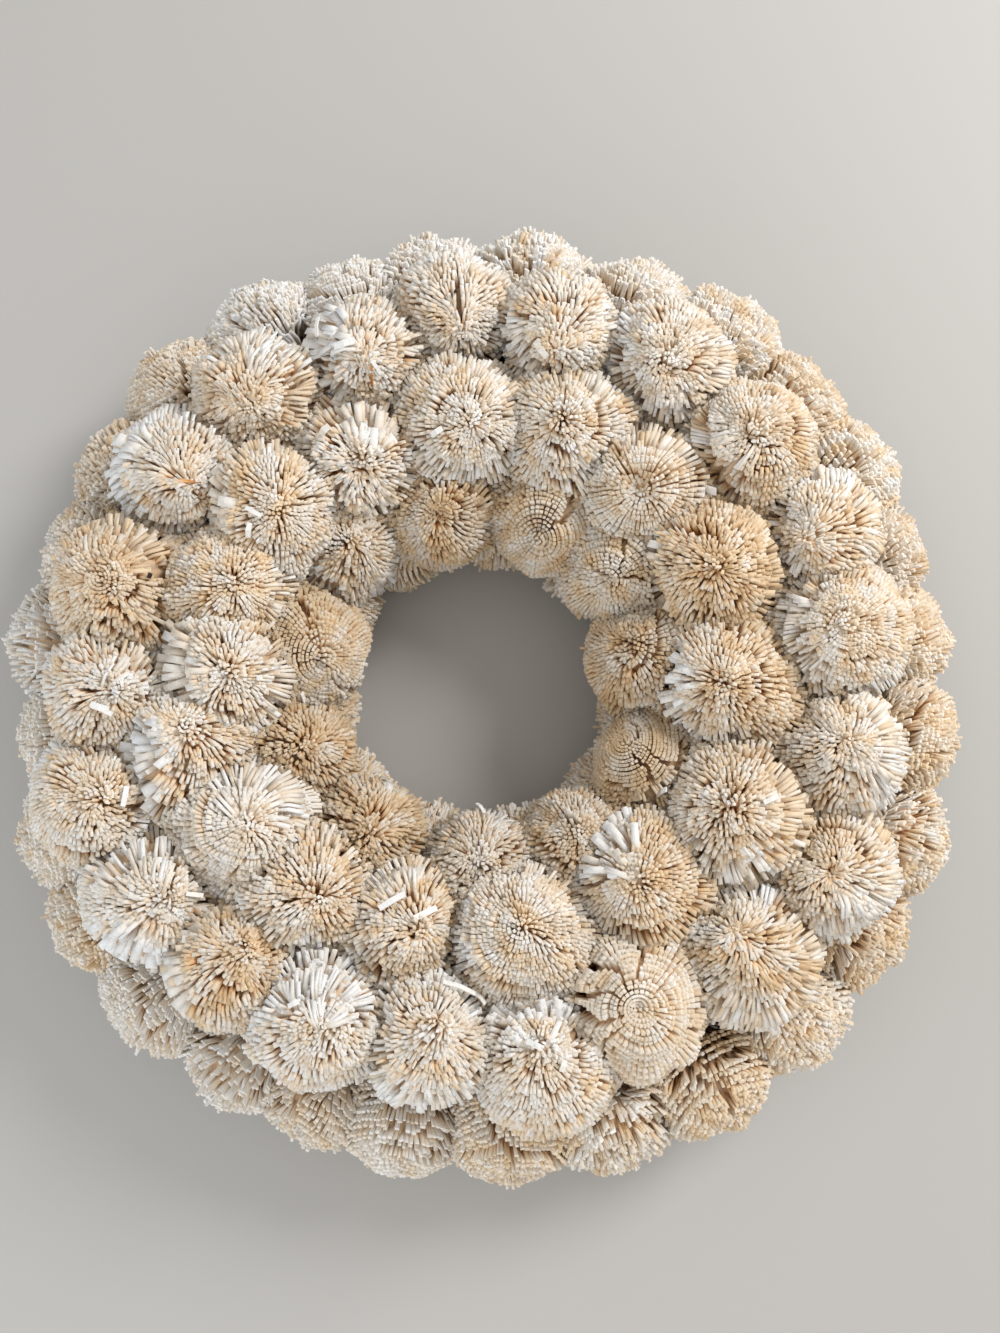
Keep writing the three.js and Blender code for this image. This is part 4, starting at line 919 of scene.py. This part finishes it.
def build_ring(material):
    rng = np.random.default_rng(77)
    turns, steps = 230, 26
    verts, cols, loops, sizes, uvs = [], [], [], [], []
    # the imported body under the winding
    nu, nv = 150, 24
    u = np.arange(nu) * 2 * math.pi / nu
    v = np.arange(nv) * 2 * math.pi / nv
    U, V = np.meshgrid(u, v, indexing="ij")
    verts.append(ring_point(U, V, -0.5).reshape(-1, 3))
    cols.append(np.stack([np.full(nu * nv, 0.3), np.tile(v, nu) / 6.3, np.repeat(u, nv) / 6.3,
                          np.ones(nu * nv)], 1))
    i, j = np.meshgrid(np.arange(nu), np.arange(nv), indexing="ij")
    quad = np.stack([i * nv + j, (i + 1) % nu * nv + j, (i + 1) % nu * nv + (j + 1) % nv, i * nv + (j + 1) % nv], -1)
    loops.append(quad.reshape(-1))
    sizes.append(np.full(nu * nv, 4))
    cu, cv = i.reshape(-1, 1) / nu, j.reshape(-1, 1) / nv
    corner = np.array([[0, 0], [1, 0], [1, 1], [0, 1]])
    uvs.append(np.stack([(cu + corner[:, 0] / nu) * 0.49, (cv + corner[:, 1] / nv) * 0.98], -1).reshape(-1, 2))
    base = nu * nv
    # the winding: each turn a flat bundle laid once around the section
    s = np.linspace(0, 1, steps + 1)
    for k in range(turns):
        wide = 2 * math.pi / turns * rng.uniform(0.95, 1.35)
        mid = 2 * math.pi * (k + rng.uniform(-0.25, 0.25)) / turns
        slope = rng.normal(0, 0.010) + 0.012
        path = mid + slope * np.sin(2 * math.pi * s) + rng.normal(0, 0.0012, steps + 1)
        around = 2 * math.pi * s - math.pi / 2
        rise = rng.uniform(0.35, 0.75)
        pts = np.stack([ring_point(path - wide / 2, around, -0.7), ring_point(path - wide * 0.2, around, rise),
                        ring_point(path + wide * 0.2, around, rise * 0.9), ring_point(path + wide / 2, around, -0.7)], 1)
        verts.append(pts.reshape(-1, 3))
        tone = rng.uniform(0, 1)
        cols.append(np.stack([np.full(4 * (steps + 1), tone), np.tile([0.0, 0.3, 0.7, 1.0], steps + 1),
                              np.repeat(s, 4), np.ones(4 * (steps + 1))], 1))
        q = np.arange(steps)[:, None] * 4 + np.arange(3)[None]
        loops.append((np.stack([q, q + 1, q + 5, q + 4], -1) + base).reshape(-1))
        sizes.append(np.full(steps * 3, 4))
        x0, w = 0.5 + 0.5 * (k % 46) / 46, 0.48 / 46
        y0, h = (k // 46) / 5, 0.19
        cell = np.stack([x0 + w * (np.arange(3)[None, :, None] + np.array([0, 1, 1, 0])) / 3 + 0 * s[:steps, None, None],
                         y0 + h * (s[:steps, None, None] + np.array([0, 0, 1, 1]) / steps) + 0 * np.arange(3)[None, :, None]],
                        -1)
        uvs.append(cell.reshape(-1, 2))
        base += 4 * (steps + 1)
    ob = mesh_object("ring_winding", np.concatenate(verts), np.concatenate(loops), np.concatenate(sizes),
                     np.concatenate(cols), np.concatenate(uvs), [material],
                     smooth=np.ones(sum(len(z) for z in sizes), bool))
    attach(ob, "root")
    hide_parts("base_ring")
    return sum(len(z) for z in sizes) * 2


# ---------------------------------------------------------------- materials
def nodes_of(name):
    m = bpy.data.materials.new(name)
    m.use_nodes = True
    nt = m.node_tree
    nt.nodes.clear()
    out = nt.nodes.new("ShaderNodeOutputMaterial")
    p = nt.nodes.new("ShaderNodeBsdfPrincipled")
    nt.links.new(p.outputs[0], out.inputs[0])
    return m, nt, p


def ramp(nt, stops, fac):
    r = nt.nodes.new("ShaderNodeValToRGB")
    while len(r.color_ramp.elements) < len(stops):
        r.color_ramp.elements.new(0.5)
    for e, (pos, c) in zip(r.color_ramp.elements, stops):
        e.position = pos
        e.color = (*c, 1)
    nt.links.new(fac, r.inputs[0])
    return r.outputs[0]


def mix(nt, kind, fac, a, b):
    n = nt.nodes.new("ShaderNodeMix")
    n.data_type = "RGBA"
    n.blend_type = kind
    for sock, v in ((n.inputs[0], fac), (n.inputs[6], a), (n.inputs[7], b)):
        if isinstance(v, (int, float)):
            sock.default_value = v
        elif isinstance(v, tuple):
            sock.default_value = (*v, 1)
        else:
            nt.links.new(v, sock)
    return n.outputs[2]


def math_node(nt, op, a, b=None, clamp=False):
    n = nt.nodes.new("ShaderNodeMath")
    n.operation = op
    n.use_clamp = clamp
    for sock, v in ((n.inputs[0], a), (n.inputs[1], b)):
        if v is None:
            continue
        if isinstance(v, (int, float)):
            sock.default_value = v
        else:
            nt.links.new(v, sock)
    return n.outputs[0]


def pith_material():
    m, nt, p = nodes_of("pith_fringe")
    at = nt.nodes.new("ShaderNodeAttribute")
    at.attribute_name = "pith"
    sep = nt.nodes.new("ShaderNodeSeparateColor")
    nt.links.new(at.outputs["Color"], sep.inputs[0])
    tone, warm, tip = sep.outputs
    tc = nt.nodes.new("ShaderNodeTexCoord")
    # ivory to warm cream by warmth
    pale = ramp(nt, [(0.0, (0.64, 0.50, 0.35)), (0.5, (0.80, 0.742, 0.66)), (1.0, (0.89, 0.905, 0.925))], tone)
    rich = ramp(nt, [(0.0, (0.58, 0.39, 0.21)), (0.5, (0.795, 0.63, 0.43)), (1.0, (0.91, 0.875, 0.82))], tone)
    colour = mix(nt, "MIX", warm, pale, rich)
    # painted shade: darker and warmer down the strand, toward the crevices at its foot
    foot = ramp(nt, [(0.0, (0.82, 0.32, 0.08)), (0.45, (0.92, 0.50, 0.20)), (0.84, (0.99, 0.88, 0.75)), (0.97, (1.0, 1.0, 1.0))], tip)
    much = math_node(nt, "ADD", math_node(nt, "MULTIPLY", warm, 0.5), 0.74, clamp=True)
    colour = mix(nt, "MULTIPLY", much, colour, foot)
    # fine pores of the pith
    pores = nt.nodes.new("ShaderNodeTexNoise")
    pores.inputs["Scale"].default_value = 1500
    pores.inputs["Detail"].default_value = 2
    nt.links.new(tc.outputs["Object"], pores.inputs["Vector"])
    grain = ramp(nt, [(0.3, (0.90, 0.87, 0.83)), (0.7, (1.05, 1.05, 1.05))], pores.outputs["Fac"])
    colour = mix(nt, "MULTIPLY", 0.8, colour, grain)
    # painted shade: the attribute's alpha mixes the colour toward near black
    colour = mix(nt, "MIX", at.outputs["Alpha"], (0.03, 0.02, 0.012), colour)
    nt.links.new(colour, p.inputs["Base Color"])
    rough = ramp(nt, [(0.0, (0.72, 0.72, 0.72)), (1.0, (0.92, 0.92, 0.92))], pores.outputs["Fac"])
    nt.links.new(rough, p.inputs["Roughness"])
    p.inputs["Specular IOR Level"].default_value = 0.35
    p.inputs["Subsurface Weight"].default_value = 0.0
    bump = nt.nodes.new("ShaderNodeBump")
    bump.inputs["Strength"].default_value = 0.25
    bump.inputs["Distance"].default_value = 0.0002
    nt.links.new(pores.outputs["Fac"], bump.inputs["Height"])
    nt.links.new(bump.outputs[0], p.inputs["Normal"])
    return m


def ring_material():
    """Dark brown natural fibre, wound: streaks run along each turn, some turns paler."""
    m, nt, p = nodes_of("base_fibre")
    at = nt.nodes.new("ShaderNodeAttribute")
    at.attribute_name = "pith"
    sep = nt.nodes.new("ShaderNodeSeparateColor")
    nt.links.new(at.outputs["Color"], sep.inputs[0])
    tone, across, along = sep.outputs
    tc = nt.nodes.new("ShaderNodeTexCoord")
    lay = nt.nodes.new("ShaderNodeCombineXYZ")
    nt.links.new(math_node(nt, "MULTIPLY", across, 9.0), lay.inputs[0])
    nt.links.new(math_node(nt, "MULTIPLY", along, 14.0), lay.inputs[1])
    nt.links.new(math_node(nt, "MULTIPLY", tone, 40.0), lay.inputs[2])
    streak = nt.nodes.new("ShaderNodeTexNoise")
    streak.inputs["Scale"].default_value = 1.0
    streak.inputs["Detail"].default_value = 5
    nt.links.new(lay.outputs[0], streak.inputs["Vector"])
    fuzz = nt.nodes.new("ShaderNodeTexNoise")
    fuzz.inputs["Scale"].default_value = 420
    fuzz.inputs["Detail"].default_value = 5
    nt.links.new(tc.outputs["Object"], fuzz.inputs["Vector"])
    c = ramp(nt, [(0.25, (0.045, 0.024, 0.012)), (0.5, (0.14, 0.078, 0.038)), (0.78, (0.31, 0.195, 0.105))],
             streak.outputs["Fac"])
    shade = ramp(nt, [(0.0, (0.55, 0.52, 0.50)), (1.0, (1.35, 1.32, 1.28))], tone)
    c = mix(nt, "MULTIPLY", 1.0, c, shade)
    c = mix(nt, "MULTIPLY", 0.8, c, ramp(nt, [(0.3, (0.6, 0.58, 0.55)), (0.7, (1.2, 1.2, 1.2))], fuzz.outputs["Fac"]))
    nt.links.new(c, p.inputs["Base Color"])
    nt.links.new(ramp(nt, [(0.0, (0.72, 0.72, 0.72)), (1.0, (0.98, 0.98, 0.98))], fuzz.outputs["Fac"]),
                 p.inputs["Roughness"])
    p.inputs["Specular IOR Level"].default_value = 0.3
    b = nt.nodes.new("ShaderNodeBump")
    b.inputs["Strength"].default_value = 0.7
    b.inputs["Distance"].default_value = 0.0005
    nt.links.new(mix(nt, "MULTIPLY", 0.6, streak.outputs["Fac"], fuzz.outputs["Fac"]), b.inputs["Height"])
    nt.links.new(b.outputs[0], p.inputs["Normal"])
    return m


# ---------------------------------------------------------------- stage
def look_matrix(pos, forward, right, up):
    return Matrix(((right[0], up[0], -forward[0], pos[0]), (right[1], up[1], -forward[1], pos[1]),
                   (right[2], up[2], -forward[2], pos[2]), (0, 0, 0, 1)))


def make_camera():
    e, roll = math.radians(82.74), math.radians(-0.92)
    pos = (np.array([7.54, -40.05, 394.32]) + CENTRE) * MM
    F = np.array([0, math.cos(e), -math.sin(e)])
    Rt = np.array([1.0, 0, 0])
    U = np.array([0, math.sin(e), math.cos(e)])
    c, s = math.cos(roll), math.sin(roll)
    Rt, U = c * Rt + s * U, -s * Rt + c * U
    cam = bpy.data.cameras.new("camera")
    cam.sensor_width = 36.0
    cam.sensor_fit = "AUTO"
    cam.lens = 1000.0 * 36.0 / 1333.0
    cam.clip_start = 0.01
    ob = bpy.data.objects.new("camera", cam)
    bpy.context.scene.collection.objects.link(ob)
    ob.matrix_world = look_matrix(pos, F, Rt, U)
    bpy.context.scene.camera = ob


def area(name, pos, target, size, power, colour):
    light = bpy.data.lights.new(name, "AREA")
    light.shape = "DISK"
    light.size = size
    light.energy = power
    light.color = colour
    ob = bpy.data.objects.new(name, light)
    bpy.context.scene.collection.objects.link(ob)
    ob.location = pos
    ob.rotation_euler = (Vector(target) - Vector(pos)).to_track_quat("-Z", "Y").to_euler()


def make_stage():
    me = bpy.data.meshes.new("floor")
    s = 3.0
    me.from_pydata([(-s, -s, -0.0002), (s, -s, -0.0002), (s, s, -0.0002), (-s, s, -0.0002)], [], [(0, 1, 2, 3)])
    m, nt, p = nodes_of("floor")
    p.inputs["Base Color"].default_value = (0.48, 0.47, 0.455, 1)
    p.inputs["Roughness"].default_value = 0.7
    me.materials.append(m)
    ob = bpy.data.objects.new("floor", me)
    bpy.context.scene.collection.objects.link(ob)
    bpy.context.scene.view_settings.view_transform = "Standard"
    w = bpy.data.worlds.new("studio")
    bpy.context.scene.world = w
    w.use_nodes = True
    bg = w.node_tree.nodes["Background"]
    bg.inputs[0].default_value = (1.0, 0.975, 0.935, 1)
    bg.inputs[1].default_value = 0.64
    area("key", (0.86, 0.62, 0.80), (0, 0, 0.03), 0.50, 12.2, (1.0, 0.995, 0.99))
    area("front", (-0.15, -0.95, 0.50), (0, 0, 0.03), 0.7, 2.2, (1.0, 0.98, 0.95))
    area("fill", (-0.85, -0.35, 0.32), (0, 0, 0.03), 0.6, 2.2, (0.72, 0.86, 1.0))


make_camera()
make_stage()

PITH = pith_material()
FIBRE = ring_material()
total = 0
counts = {}
for i, pom in enumerate(POMS):
    ob, n = build_pom(pom, i, PITH)
    total += n
    counts[pom.row] = counts.get(pom.row, 0) + n
total += build_ring(FIBRE)
print("triangles", total, counts)
